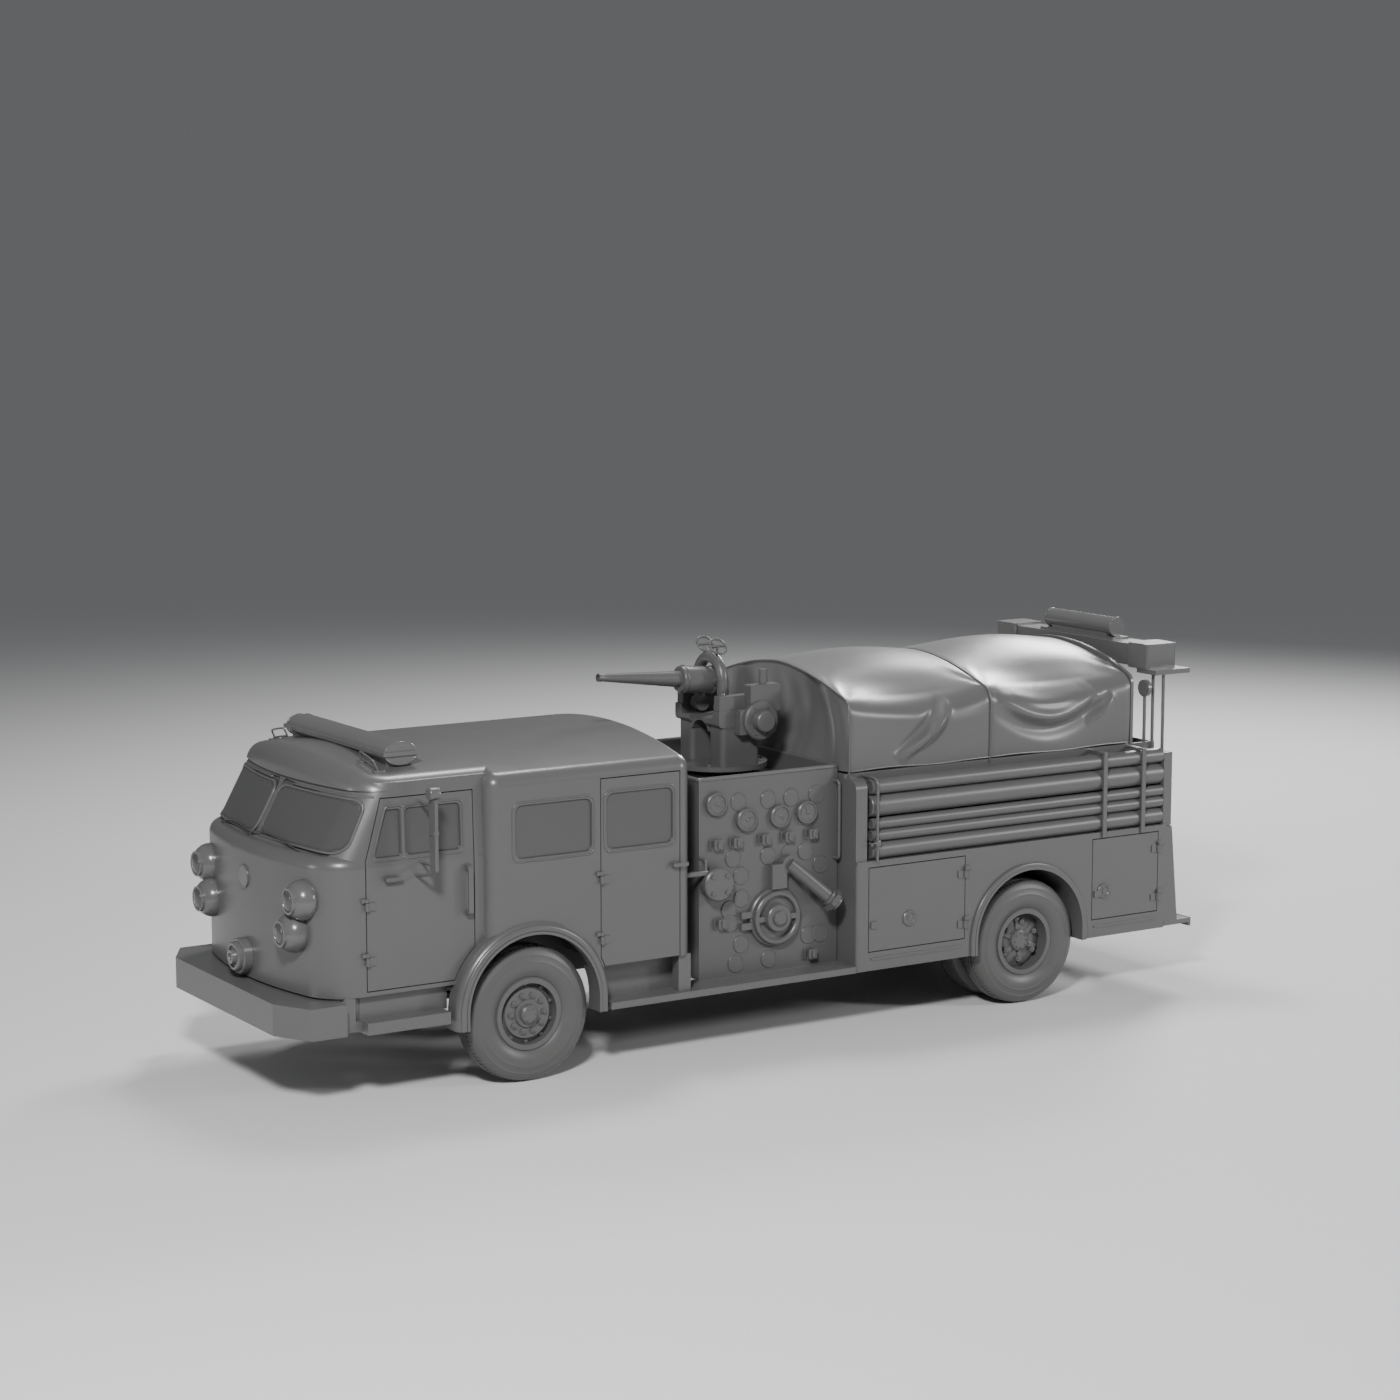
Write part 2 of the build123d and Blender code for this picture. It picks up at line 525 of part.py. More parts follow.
# Cab panels: split where the real panels meet
nose = carcass & zone(NOSE_SPLIT_X, FRONT_X, 0, ROOF_SPLIT_Z)
sides = carcass & zone(CREW_X0 + CREW_CORNER_R, NOSE_SPLIT_X, 0, ROOF_SPLIT_Z)
left_side = only(sides & zone(CREW_X0, FRONT_X, 0, ROOF_Z, 0, SPAN))
for z in FRONT_HINGE_Z:
    pin = frame_pin(FRONT_HINGE_X, FRONT_HALF, z, -1)
    nose = nose + pin + right(pin)
for z in CREW_HINGE_Z:
    left_side += frame_pin(CREW_HINGE_X, CREW_HALF, z, -1)
keep("cab_nose", only(nose))
keep("cab_sides", *both(left_side))
back = carcass & zone(CREW_X0 - 100, CREW_X0 + CREW_CORNER_R, 0, ROOF_SPLIT_Z)
keep("cab_back", only(back - zone(CREW_X0 - 100, CREW_X1, 0, RAIL_Z1, -FRAME_GAP_Y, FRAME_GAP_Y)))
keep("cab_roof", only(carcass & zone(CREW_X0 - 100, FRONT_X, ROOF_SPLIT_Z, ROOF_Z + 100)))

# Cab floor with wheel wells and the engine cover in one bent sheet
well_x0, well_x1 = FRONT_AXLE_X - WELL_HALF_L, FRONT_AXLE_X + WELL_HALF_L
hump_top = ENGINE_Z1 + 90
plate = cab_inner & zone(CREW_X0, FRONT_X, RAIL_Z1, RAIL_Z1 + FLOOR_T)
hump = block(well_x0, well_x1, -WELL_Y, WELL_Y, RAIL_Z1, hump_top)
wells = zone(well_x0, well_x1, RAIL_Z1, WELL_Z) & cab_inner
sheet_t = 22.0
inside = block(well_x0 + sheet_t, well_x1 - sheet_t, -WELL_Y + sheet_t, WELL_Y - sheet_t, 0,
               hump_top - sheet_t)
for s in (-1, 1):
    inside += block(well_x0 + sheet_t, well_x1 - sheet_t, s * WELL_Y, s * SPAN, 0, WELL_Z - sheet_t)
keep("cab_floor", only(plate + hump + wells - inside))

# Dashboard with the steering column, and the seats
dash_half, dash_z0 = FRONT_HALF - 120, COWL_Z - 400
driver_y = FRONT_HALF - 340
dash = block(FRONT_X - 770, FRONT_X - 550, -dash_half, dash_half, dash_z0, COWL_Z - 120)
dash = fillet(dash.edges().filter_by(Axis.Y), 40)
WHEEL_HUB = (FRONT_X - 920, driver_y, COWL_Z - 180)
dash += rod((FRONT_X - 730, driver_y, COWL_Z - 300), WHEEL_HUB, 30)
wheel_tilt = Pos(*WHEEL_HUB) * Rot(0, -58, 0)
dash += wheel_tilt * Torus(225, 15) + wheel_tilt * Box(440, 36, 16) + wheel_tilt * Cylinder(45, 30)
dash += disc_z(FRONT_X - 630, driver_y, 26, RAIL_Z1 + FLOOR_T, dash_z0 + 20)
dash += block(FRONT_X - 690, FRONT_X - 610, -60, 60, RAIL_Z1 + FLOOR_T, dash_z0 + 20)
keep("dashboard", dash)
seat_x0, seat_y0, seat_y1 = FRONT_AXLE_X + 180, WELL_Y + 25, FRONT_HALF - 100
seat = block(seat_x0, seat_x0 + 460, seat_y0, seat_y1, WELL_Z, WELL_Z + 160)
seat += block(seat_x0, seat_x0 + 120, seat_y0, seat_y1, WELL_Z, COWL_Z + 100)
bench_x0, bench_half = CREW_X0 + WALL, FRONT_HALF - 120
bench = block(bench_x0, bench_x0 + 430, -bench_half, bench_half, RAIL_Z1 + FLOOR_T, RAIL_Z1 + 430)
bench += block(bench_x0, bench_x0 + 110, -bench_half, bench_half, RAIL_Z1 + 340, COWL_Z - 50)
keep("seats", *both(seat), bench)

# Bumper: wrapped plate with a deck on top, open behind and below
def bumper_plan(inset):
    front, chamfer, half = FRONT_X - inset, FRONT_X - 167 - inset * 0.6, BODY_HALF - 11 - inset
    flat, back = BODY_HALF - 317, FRONT_X - 452
    return outline((front, -flat), (front, flat), (chamfer, half), (back, half), (back, -half),
                   (chamfer, -half))


bumper = along_z(bumper_plan(0), BUMPER_Z0, BUMPER_Z1)
bumper = fillet(bumper.edges().filter_by(Axis.Z).sort_by(Axis.X)[-4:], 30)
bumper -= along_z(bumper_plan(14), BUMPER_Z0 - 5, BUMPER_Z1 - 12)
keep("front_bumper", bumper)

# Lamps on the nose, the warning siren and the bare badge disc; profiles turned about X
Lamp = namedtuple("Lamp", "x y z ball lens_r reach")
LAMPS = [Lamp(FRONT_X - 295, FRONT_HALF - 280, COWL_Z - 332, 148, 96, 137),
         Lamp(FRONT_X - 265, FRONT_HALF - 372, COWL_Z - 588, 148, 96, 137)]
lamps = []
for p in LAMPS:
    back_r = p.ball * 0.94
    bulge = ThreePointArc((p.reach - 22, p.lens_r + 6), (p.reach / 3, p.ball), (-40, back_r))
    ring = Polyline((-40, back_r), (-40, 0), (p.reach - 8, 0), (p.reach - 8, p.lens_r - 16),
                    (p.reach, p.lens_r - 12), (p.reach, p.lens_r + 2), (p.reach - 22, p.lens_r + 6))
    pod = Pos(p.x, p.y, p.z) * revolve(make_face([bulge, *ring.edges()]), Axis.X)
    lamps += both(only(pod - cab_outer))


def turned_x(x, y, z, *profile):
    return Pos(x, y, z) * revolve(outline(*profile), Axis.X)


siren_z = CAB_Z0 + 155
siren = turned_x(FRONT_X - 300, 0, siren_z, (0, 0), (0, 138), (172, 138), (180, 130), (180, 116), (205, 112),
                 (215, 100), (215, 84), (200, 80), (200, 64), (237, 52), (237, 30), (225, 26), (225, 0))
badge_t = NOSE_X + 16 - (FRONT_X - 300)
badge = turned_x(FRONT_X - 300, 0, COWL_Z - 288, (0, 0), (0, 92), (badge_t - 4, 92), (badge_t, 88),
                 (badge_t, 80), (badge_t - 5, 76), (badge_t - 5, 0))
lamps += [only(siren - cab_outer), only(badge - cab_outer)]
keep("nose_lamps", *lamps)

# Light bars: front on the cab roof, rear on the gantry
BAR_X, BAR_Z, BAR_HALF = FRONT_X - 1090, ROOF_Z + 21, FRONT_HALF - 260
front_bar = along_y(Pos(BAR_X, BAR_Z) * Ellipse(135, 86), -BAR_HALF, BAR_HALF)
front_bar += along_y(Pos(BAR_X, BAR_Z) * Rectangle(300, 30), -BAR_HALF - 16, BAR_HALF + 16)
for s in (-1, 1):
    front_bar += block(BAR_X - 100, BAR_X + 100, s * (BAR_HALF - 260), s * (BAR_HALF - 40),
                       ROOF_Z - 195, BAR_Z)
front_bar = only(front_bar - cab_outer)
GANTRY_X, GANTRY_TOP = REAR_X + 240, 2925.0
rear_bar = disc_y(GANTRY_X, GANTRY_TOP + 84, 82, -450, 450)
rear_bar += block(GANTRY_X - 60, GANTRY_X + 60, -380, 380, GANTRY_TOP, GANTRY_TOP + 40)
keep("light_bars", front_bar, rear_bar)


# Wheel arch lips
def arch_outline(cx, r):
    over = outline((cx - r, ARCH_Z), (cx + r, ARCH_Z), (cx + r, ARCH_Z + 2 * r), (cx - r, ARCH_Z + 2 * r))
    face = Pos(cx, ARCH_Z) * Circle(r) & over
    return face + outline((cx - r, ARCH_Z), (cx + r, ARCH_Z), (cx + r, ARCH_FOOT_Z), (cx - r, ARCH_FOOT_Z))


def lip(cx, r0, r1, y0, y1, round_r):
    band = along_y(arch_outline(cx, r1), y0, y1)
    boxes = [(e, e.bounding_box()) for e in band.edges()]
    band = fillet([e for e, b in boxes if b.min.Y > y1 - 1 and b.max.Z > ARCH_FOOT_Z + 1], round_r)
    band += along_y(arch_outline(cx, r0 + 22), y0, y1 + 4)
    return band - along_y(arch_outline(cx, r0) + Pos(cx, 0) * Rectangle(2 * r0, 2 * ARCH_Z), 0, SPAN)


front_lip = only(lip(FRONT_AXLE_X, ARCH_R, ARCH_LIP_R, FRONT_HALF - 40, ARCH_OUT_Y, 60) - cab_outer)
rear_lip = lip(REAR_AXLE_X, REAR_ARCH_R, REAR_ARCH_LIP_R, BODY_HALF, ARCH_OUT_Y, 18)
keep("wheel_arches", *both(front_lip), *both(rear_lip))

# Steps: under the front doors, and the running boards past the pump panels
step_x0, step_x1 = FRONT_AXLE_X + ARCH_LIP_R + 35, FRONT_X - 620
STEP_Z0, STEP_Z1 = 558.0, 648.0
hanger_y0, hanger_y1 = FRONT_HALF - 80, FRONT_HALF - 16
front_step = block(step_x0, step_x1, FRONT_HALF - 170, CREW_HALF - 5, STEP_Z0, STEP_Z1)
front_step += block(step_x0, step_x1, hanger_y0, hanger_y0 + 22, STEP_Z1 - 8, RAIL_Z1)
front_step += block(step_x1 + 50, step_x1 + 140, hanger_y1 - 24, hanger_y1, STEP_Z0 + 14, CAB_Z0)
front_step += block(step_x1 - 30, step_x1 + 70, hanger_y0, hanger_y1, STEP_Z0 + 14, STEP_Z1)
board_x1 = FRONT_AXLE_X - ARCH_LIP_R - 20
board = block(BODY_X1, board_x1, BODY_HALF - 320, BODY_HALF, PUMP_Z0 - 53, PUMP_Z0)
board += block(CREW_X0 + WALL, board_x1, CREW_HALF - 205, CREW_HALF - 183, PUMP_Z0, RAIL_Z1)
board += block(CREW_X0, CREW_X0 + CREW_CORNER_R - 5, CREW_HALF - 125, CREW_HALF - 35, PUMP_Z0, CAB_Z0)
keep("side_steps", *both(front_step), *both(board))

# Pump house: open below, with a deck set down inside the coaming
house = block(PUMP_X0, PUMP_X1, -(PANEL_Y - PANEL_T), PANEL_Y - PANEL_T, PUMP_Z0, PUMP_Z1)
in_x0, in_x1, in_y = PUMP_X0 + 25, PUMP_X1 - 25, PANEL_Y - PANEL_T - 25
house -= block(in_x0, in_x1, -in_y, in_y, PUMP_Z0 - 5, DECK_Z - 30)
house -= block(in_x0, in_x1, -in_y, in_y, DECK_Z, PUMP_Z1 + 5)
house -= block(PUMP_X0 - 5, PUMP_X1 + 5, -FRAME_GAP_Y, FRAME_GAP_Y, PUMP_Z0 - 5, RAIL_Z1)
house -= disc_y(SUCTION_X, SUCTION_Z, SUCTION_TUBE_R + SEAT, -SPAN, SPAN)
keep("pump_house", house)

# Pump panels: gauges, pull handles and blank plates stand on a plain sheet
Item = namedtuple("Item", "x z r proud")
GAUGES = [Item(PUMP_X + x, z, 95, 40) for x, z in ((460, 1943), (175, 1792), (-143, 1791), (-400, 1797))]
PLATES = [Item(PUMP_X + x, z, 72, 5) for x, z in (
    (240, 1940), (-40, 1935), (-260, 1930), (-500, 1935), (290, 1490), (-40, 1480), (-240, 1480),
    (-400, 1480), (215, 1345), (-545, 1360), (210, 1160), (330, 1080), (320, 970), (215, 790),
    (265, 640), (-50, 640), (-430, 790), (-545, 790))]
HANDLES = [Item(PUMP_X + x, z, 40, 46) for x, z in (
    (452, 1620), (269, 1620), (0, 1620), (-220, 1620), (-451, 1620), (413, 980), (-451, 635))]
panel_y0 = PANEL_Y - PANEL_T


def panel_sheet():
    sheet = block(PUMP_X0 + 5, PUMP_X1, panel_y0, PANEL_Y, PUMP_Z0, PUMP_Z1)
    for g in GAUGES:
        sheet += turned_y(g.x, PANEL_Y, g.z, (0, -4), (g.r, -4), (g.r, g.proud - 8), (g.r - 8, g.proud),
                          (g.r - 18, g.proud), (g.r - 22, g.proud - 9), (0, g.proud - 9))
    for p in PLATES:
        sheet += disc_y(p.x, p.z, p.r, PANEL_Y - 4, PANEL_Y + p.proud)
    for h in HANDLES:
        sheet += disc_y(h.x, h.z, 12, PANEL_Y - 4, PANEL_Y + h.proud)
        knob = block(h.x - h.r, h.x + h.r, PANEL_Y + h.proud - 18, PANEL_Y + h.proud, h.z - h.r, h.z + h.r)
        sheet += fillet(knob.edges().filter_by(Axis.Y), 10)
        sheet += block(h.x + h.r + 8, h.x + h.r + 26, PANEL_Y - 4, PANEL_Y + 14, h.z - h.r, h.z + h.r)
    return sheet


rail_x = PUMP_X0 + 35
left_panel = panel_sheet()
left_panel += bent_rod([(rail_x, PANEL_Y - 4, 1400), (rail_x, PANEL_Y + 70, 1400),
                        (rail_x, PANEL_Y + 70, 2030), (rail_x, PANEL_Y - 4, 2030)], 14, 30)
left_panel += block(PUMP_X - 185, PUMP_X - 45, PANEL_Y - 4, PANEL_Y + 60, 1210, 1410)


# Inlets and outlets that stand on the panels
def suction_cap():
    cap = turned_y(SUCTION_X, PANEL_Y, SUCTION_Z, (0, 0), (240, 0), (240, 24), (230, 34), (216, 34),
                   (216, 62), (208, 70), (184, 70), (176, 62), (176, 32), (120, 32), (112, 84), (104, 92),
                   (64, 92), (60, 108), (44, 118), (0, 118))
    for s in (-1, 1):
        cap += block(SUCTION_X + s * 100, SUCTION_X + s * 185, PANEL_Y + 28, PANEL_Y + 64,
                     SUCTION_Z - 22, SUCTION_Z + 22)
        lug_z = SUCTION_Z + s * 46
        cap += block(SUCTION_X + 225, SUCTION_X + 330, PANEL_Y, PANEL_Y + 40, lug_z - 26, lug_z + 26)
    return cap


OUTLET_X, OUTLET_Z = PUMP_X + 490, 1320.0
COUPLING_R = 38.9
outlet = turned_y(OUTLET_X, PANEL_Y, OUTLET_Z, (0, 0), (120, 0), (120, 66), (136, 70), (136, 112), (124, 124),
                  (0, 124))
for sx in (-1, 1):
    for sz in (-1, 1):
        outlet += disc_y(OUTLET_X + sx * 66, OUTLET_Z + sz * 66, 16, PANEL_Y + 120, PANEL_Y + 136)
pipe_a, pipe_b = (PUMP_X - 215, PANEL_Y + 40, 1400.0), (PUMP_X - 520, PANEL_Y + 150, 1120.0)
pipe_end = (PUMP_X - 590, PANEL_Y + 175, 1056.0)
pipe = rod(pipe_a, pipe_b, 57) + disc_y(pipe_a[0], pipe_a[2], 70, PANEL_Y, PANEL_Y + 60)
along = Plane(origin=pipe_b, z_dir=Vector(*pipe_end) - Vector(*pipe_b))
pipe += rod(pipe_b, pipe_end, 72) + extrude(along.offset(30) * RegularPolygon(98, 6), amount=40)
pipe -= block(PUMP_X0, PUMP_X1, 0, PANEL_Y, 0, PUMP_Z1)
stubs = []
for x in (PUMP_X + 150, PUMP_X + 400):
    stubs.append(turned_y(x, PANEL_Y, OUTLET_Z, (0, 0), (62, 0), (62, 34), (56, 40), (COUPLING_R, 40),
                          (COUPLING_R, 110), (31.75, 110), (31.75, 60), (0, 60)))
keep("pump_fittings", *both(suction_cap()), outlet, pipe, *[right(s) for s in stubs])
left_panel = left_panel - outlet - pipe - suction_cap()
right_panel = panel_sheet() - suction_cap() - stubs[0] - stubs[1]
keep("pump_panel_left", only(left_panel))
keep("pump_panel_right", right(only(right_panel)))


# Lockers low on each side, hollow over the wheel, tail raked at the back
def locker_face(inset):
    top, low, wall = LOCKER_Z1 - inset, LOCKER_Z0 + inset, inset
    heel, tail, tail_top = BODY_X0 + 15 + wall, REAR_X + 157 + wall, REAR_X + 235 + wall
    return outline((BODY_X1 - wall, low), (heel, low), (heel, TAIL_Z1 + wall), (tail, TAIL_Z1 + wall),
                   (tail_top, top), (BODY_X1 - wall, top))


Hatch = namedtuple("Hatch", "name x0 x1 z0 z1 pull_x")
hatch_z0, hatch_z1 = LOCKER_Z0 + 158, LOCKER_Z1 - 38
arch_side = REAR_ARCH_LIP_R + 63
arch_x1, arch_x0 = REAR_AXLE_X + arch_side, REAR_AXLE_X - arch_side
HATCHES = [Hatch("front_locker_door", arch_x1, BODY_X1 - 120, hatch_z0, hatch_z1, BODY_X1 - 520),
           Hatch("rear_locker_door", BODY_X0 + 100, arch_x0, hatch_z0, hatch_z1, arch_x0 - 120)]
PULL_Z = 882.0
locker = along_y(locker_face(0), LOCKER_Y, BODY_HALF)
front_corner = locker.edges().filter_by(Axis.Z).sort_by(lambda e: e.center().X + e.center().Y)[-1]
locker = fillet(front_corner, 28)
hollow = along_y(locker_face(LOCKER_WALL), LOCKER_Y + LOCKER_WALL, BODY_HALF - LOCKER_WALL)
hollow -= along_y(Pos(REAR_AXLE_X, ARCH_Z) * Circle(REAR_ARCH_R + 25), 0, SPAN)
hollow -= along_y(Pos(REAR_AXLE_X, 0) * Rectangle(2 * REAR_ARCH_R + 50, 2 * ARCH_Z), 0, SPAN)
locker -= hollow
locker -= along_y(arch_outline(REAR_AXLE_X, REAR_ARCH_R) + Pos(REAR_AXLE_X, 0) * Rectangle(
    2 * REAR_ARCH_R, 2 * ARCH_Z), 0, SPAN)
HATCH_HINGE_Z = (hatch_z0 + 92, hatch_z1 - 172)
for h in HATCHES:
    locker -= block(h.x0 - CLEAR, h.x1 + CLEAR, BODY_HALF - LOCKER_WALL - 5, BODY_HALF + 5,
                    h.z0 - CLEAR, h.z1 + CLEAR)
    locker += block(h.x0 + 20, h.x1 - 20, BODY_HALF - 5, BODY_HALF + 8, LOCKER_Z0 + 84, LOCKER_Z0 + 104)
    door = block(h.x0, h.x1, BODY_HALF - LOCKER_WALL, BODY_HALF, h.z0, h.z1)
    hinge_x = h.x0 - CLEAR / 2
    for z in HATCH_HINGE_Z:
        door += door_barrel(hinge_x, BODY_HALF, z, 1)
        locker += frame_pin(hinge_x, BODY_HALF, z, 1)
    door += turned_y(h.pull_x, BODY_HALF, PULL_Z, (0, -4), (66, -4), (66, 8), (60, 14), (48, 14), (42, 6),
                     (22, 6), (20, 12), (0, 12))
    door += block(h.x1 - 75, h.x1 - 15, BODY_HALF - 5, BODY_HALF + 14, PULL_Z - 45, PULL_Z + 10)
    keep(f"{h.name}_left", door)
    keep(f"{h.name}_right", right(door))
keep("lockers", *both(locker))

# Hose bed: tub with side ledges, front plates, rear corner boxes and hose straps
LEDGE_T = 20.0
CORNER_Z1 = 2010.0
STRAPS_X = (BODY_X0 + 700, BODY_X0 + 280)
STRAP_Z0, STRAP_Z1 = hatch_z1 + CLEAR + 5, BED_Z1 - 13
bed = block(BODY_X0, BODY_X1, -BODY_HALF, BODY_HALF, LOCKER_Z1, LOCKER_Z1 + LEDGE_T)
bed += block(BODY_X0, BODY_X1, -BED_HALF, BED_HALF, LOCKER_Z1, BED_Z1)
bed -= block(BODY_X0 + 25, BODY_X1 - 25, -BED_HALF + 25, BED_HALF - 25, LOCKER_Z1 + LEDGE_T, BED_Z1 + 5)
bed += block(BODY_X0, BODY_X0 + 25, -LOCKER_Y, LOCKER_Y, RAIL_Z1 + CLEAR, LOCKER_Z1 + 5)
for s in (-1, 1):
    face = block(BODY_X1 - 110, BODY_X1, s * (BED_HALF - 5), s * (BODY_HALF - 20), LOCKER_Z1 + 5, BED_Z1 - 35)
    corner = face.edges().filter_by(Axis.X).sort_by(lambda e: e.center().Z + 2 * s * e.center().Y)[-1]
    bed += fillet(corner, 80)
    bed += block(BODY_X0 - 50, BODY_X0 + 40, s * (BED_HALF - 25), s * (BODY_HALF - 8),
                 LOCKER_Z1 + 5, CORNER_Z1)
    for x in STRAPS_X:
        bed += block(x - 20, x + 20, s * (BODY_HALF + SEAT), s * (BODY_HALF + 18), STRAP_Z0, STRAP_Z1)
        bed += block(x - 20, x + 20, s * (BED_HALF - 5), s * (BODY_HALF + 18), STRAP_Z1 - 16, STRAP_Z1)
        bed += block(x - 20, x + 20, s * (BODY_HALF - 5), s * (BODY_HALF + 18), LOCKER_Z1 + 2, LOCKER_Z1 + 18)
keep("hose_bed", bed)

# Suction hoses stacked on the ledge
Roll = namedtuple("Roll", "z r")
ROLLS = [Roll(1986, 62), Roll(1827, 94), Roll(1684, 46), Roll(1588, 48), Roll(1464, 73)]
hoses = []
for roll in ROLLS:
    hoses += both(disc_x(BODY_HALF - roll.r, roll.z, roll.r, BODY_X0 + 48, BODY_X1 - 180))
keep("suction_hoses", *hoses)

# Hose bed cover: a tented sheet over hoops, shown here as a plain hollow form
COVER_X0, COVER_X1 = BODY_X0 + 270, BODY_X1 - 40
COVER_SHOULDER_Z, COVER_TOP_Z = 2660.0, 2905.0
COVER_T = 15.0


def cover_face(inset):
    half, z1 = BED_HALF - inset, COVER_SHOULDER_Z - inset
    low = BED_Z1 if inset == 0 else BED_Z1 - 10
    crest = ThreePointArc((half, z1), (0, COVER_TOP_Z - inset), (-half, z1))
    walls = Polyline((-half, z1), (-half, low), (half, low), (half, z1))
    face = make_face([crest, *walls.edges()])
    return fillet([v for v in face.vertices() if v.Y > z1 - 1], 90 - inset)


cover = along_x(cover_face(0), COVER_X0, COVER_X1)
cover -= along_x(cover_face(COVER_T), COVER_X0 + COVER_T, COVER_X1 - COVER_T)
keep("hose_cover", cover)

# Rear hoop of the cover, and the gantry that carries the rear light
HOOP_R = 14.0
hoop_x = COVER_X0 - HOOP_R - 2
hoop = along_x(cover_face(0) - cover_face(2 * HOOP_R), hoop_x - HOOP_R, hoop_x + HOOP_R)
keep("cover_hoop", only(hoop))
GANTRY_HALF = BODY_HALF - 170
POST_Y, LAMP_Y = BODY_HALF - 110, BED_HALF - 13
beam = block(GANTRY_X - 130, GANTRY_X + 130, -GANTRY_HALF, GANTRY_HALF, GANTRY_TOP - 205, GANTRY_TOP - 20)
beam += block(GANTRY_X - 90, GANTRY_X + 90, -500, 500, GANTRY_TOP - 30, GANTRY_TOP)
for s in (-1, 1):
    box = block(GANTRY_X - 160, GANTRY_X + 160, s * (GANTRY_HALF - 270), s * GANTRY_HALF,
                GANTRY_TOP - 215, GANTRY_TOP)
    beam += fillet(box.edges().filter_by(Axis.Z), 25)
    beam += block(REAR_X + 10, GANTRY_X + 150, s * (BODY_HALF - 320), s * (BODY_HALF - 70),
                  GANTRY_TOP - 253, GANTRY_TOP - 213)
    beam += disc_z(BODY_X0 - 20, s * POST_Y, 14, CORNER_Z1, GANTRY_TOP - 245)
    beam += disc_z(BODY_X0 + 15, s * LAMP_Y, 14, BED_Z1, GANTRY_TOP - 245)
    beam += disc_z(BODY_X0 + 105, s * LAMP_Y, 14, BED_Z1, 2560)
    beam += disc_x(s * LAMP_Y, 2550, 72, BODY_X0 + 88, BODY_X0 + 122)
keep("rear_gantry", beam)

# Tailboard, tail lamps
tail = block(REAR_X, BODY_X0 + 10, -BODY_HALF, BODY_HALF, 500, TAIL_Z1)
tail += block(REAR_X, REAR_X + 24, -BODY_HALF, BODY_HALF, 470, 545)
keep("tail_board", tail)
tail_lamps = []
for z in (1560, 1720, 1880):
    tail_lamps += both(turned_x(BODY_X0 - 50, POST_Y, z, (0, 0), (0, 62), (-34, 62), (-40, 56), (-40, 46),
                                (-34, 42), (-34, 0)))
keep("tail_lamps", *tail_lamps)

# Deck gun: stand on the deck, turret that traverses, barrel that elevates
STAND_Z1 = DECK_Z + 80
stand = disc_z(GUN_X, 0, 300, DECK_Z, DECK_Z + 30) + disc_z(GUN_X, 0, 190, DECK_Z, STAND_Z1)
SPIGOT_R = 60.0
stand += disc_z(GUN_X, 0, SPIGOT_R, DECK_Z, STAND_Z1 + 60)
keep("gun_stand", stand)
TURN_GAP = 0.4
LOOP_Y, LOOP_R = 180.0, 48.0
PIVOT_R = 55.0
BOSS_R = 64.0
CHEEK_Y0 = LOOP_Y + LOOP_R + CLEAR
CHEEK_Y1 = CHEEK_Y0 + 90
FLOOR_Z = TRUNNION_Z - BOSS_R - 20
leg_x0, leg_x1 = GUN_X - 190, GUN_X + 180
turret = disc_z(GUN_X, 0, 400, STAND_Z1 + TURN_GAP, STAND_Z1 + 40)
for s in (-1, 1):
    leg = block(leg_x0, leg_x1, s * 130, s * 330, STAND_Z1 + 20, FLOOR_Z - 30)
    turret += fillet(leg.edges().filter_by(Axis.Z), 40)
    saddle = block(leg_x0 - 10, leg_x1 + 30, s * 118, s * (CHEEK_Y1 + 10), FLOOR_Z - 60, FLOOR_Z)
    saddle += block(leg_x0 - 10, leg_x1 + 30, s * CHEEK_Y0, s * (CHEEK_Y1 + 10), FLOOR_Z - 10, TRUNNION_Z - 8)
    turret += fillet(saddle.edges().filter_by(Axis.Y).group_by(Axis.Z)[0], 35)
    cheek = block(leg_x0 + 20, leg_x1 + 20, s * CHEEK_Y0, s * CHEEK_Y1, TRUNNION_Z - 20, TRUNNION_Z + 112)
    turret += fillet(cheek.edges().filter_by(Axis.Z), 12)
arch = block(leg_x0 + 20, leg_x1, -140, 140, FLOOR_Z - 110, FLOOR_Z - 20)
turret += arch - disc_x(0, FLOOR_Z - 160, 130, leg_x0, leg_x1 + 5)
GEAR_X, GEAR_Z = GUN_X - 130, TRUNNION_Z - 90
turret += block(GUN_X - 290, GUN_X + 60, CHEEK_Y1 - 5, CHEEK_Y1 + 94, GEAR_Z - 110, GEAR_Z + 90)
turret += turned_y(GEAR_X, CHEEK_Y1 + 84, GEAR_Z, (0, 0), (160, 0), (160, 32), (148, 40), (92, 40), (86, 104),
                   (78, 112), (0, 112))
rear_box = block(GUN_X - 330, GUN_X - 40, CHEEK_Y1 - 5, CHEEK_Y1 + 94, GEAR_Z + 70, TRUNNION_Z + 200)
turret += fillet(rear_box.edges().filter_by(Axis.Y), 15)
turret += disc_z(GUN_X - 190, CHEEK_Y1 + 44, 36, TRUNNION_Z + 180, TRUNNION_Z + 320)
turret -= disc_z(GUN_X, 0, SPIGOT_R + RUN_FIT, STAND_Z1 - 10, STAND_Z1 + 61)
turret -= disc_y(TRUNNION_X, TRUNNION_Z, PIVOT_R + RUN_FIT, -CHEEK_Y1 + 24, CHEEK_Y1 - 24)
keep("gun_turret", turret)

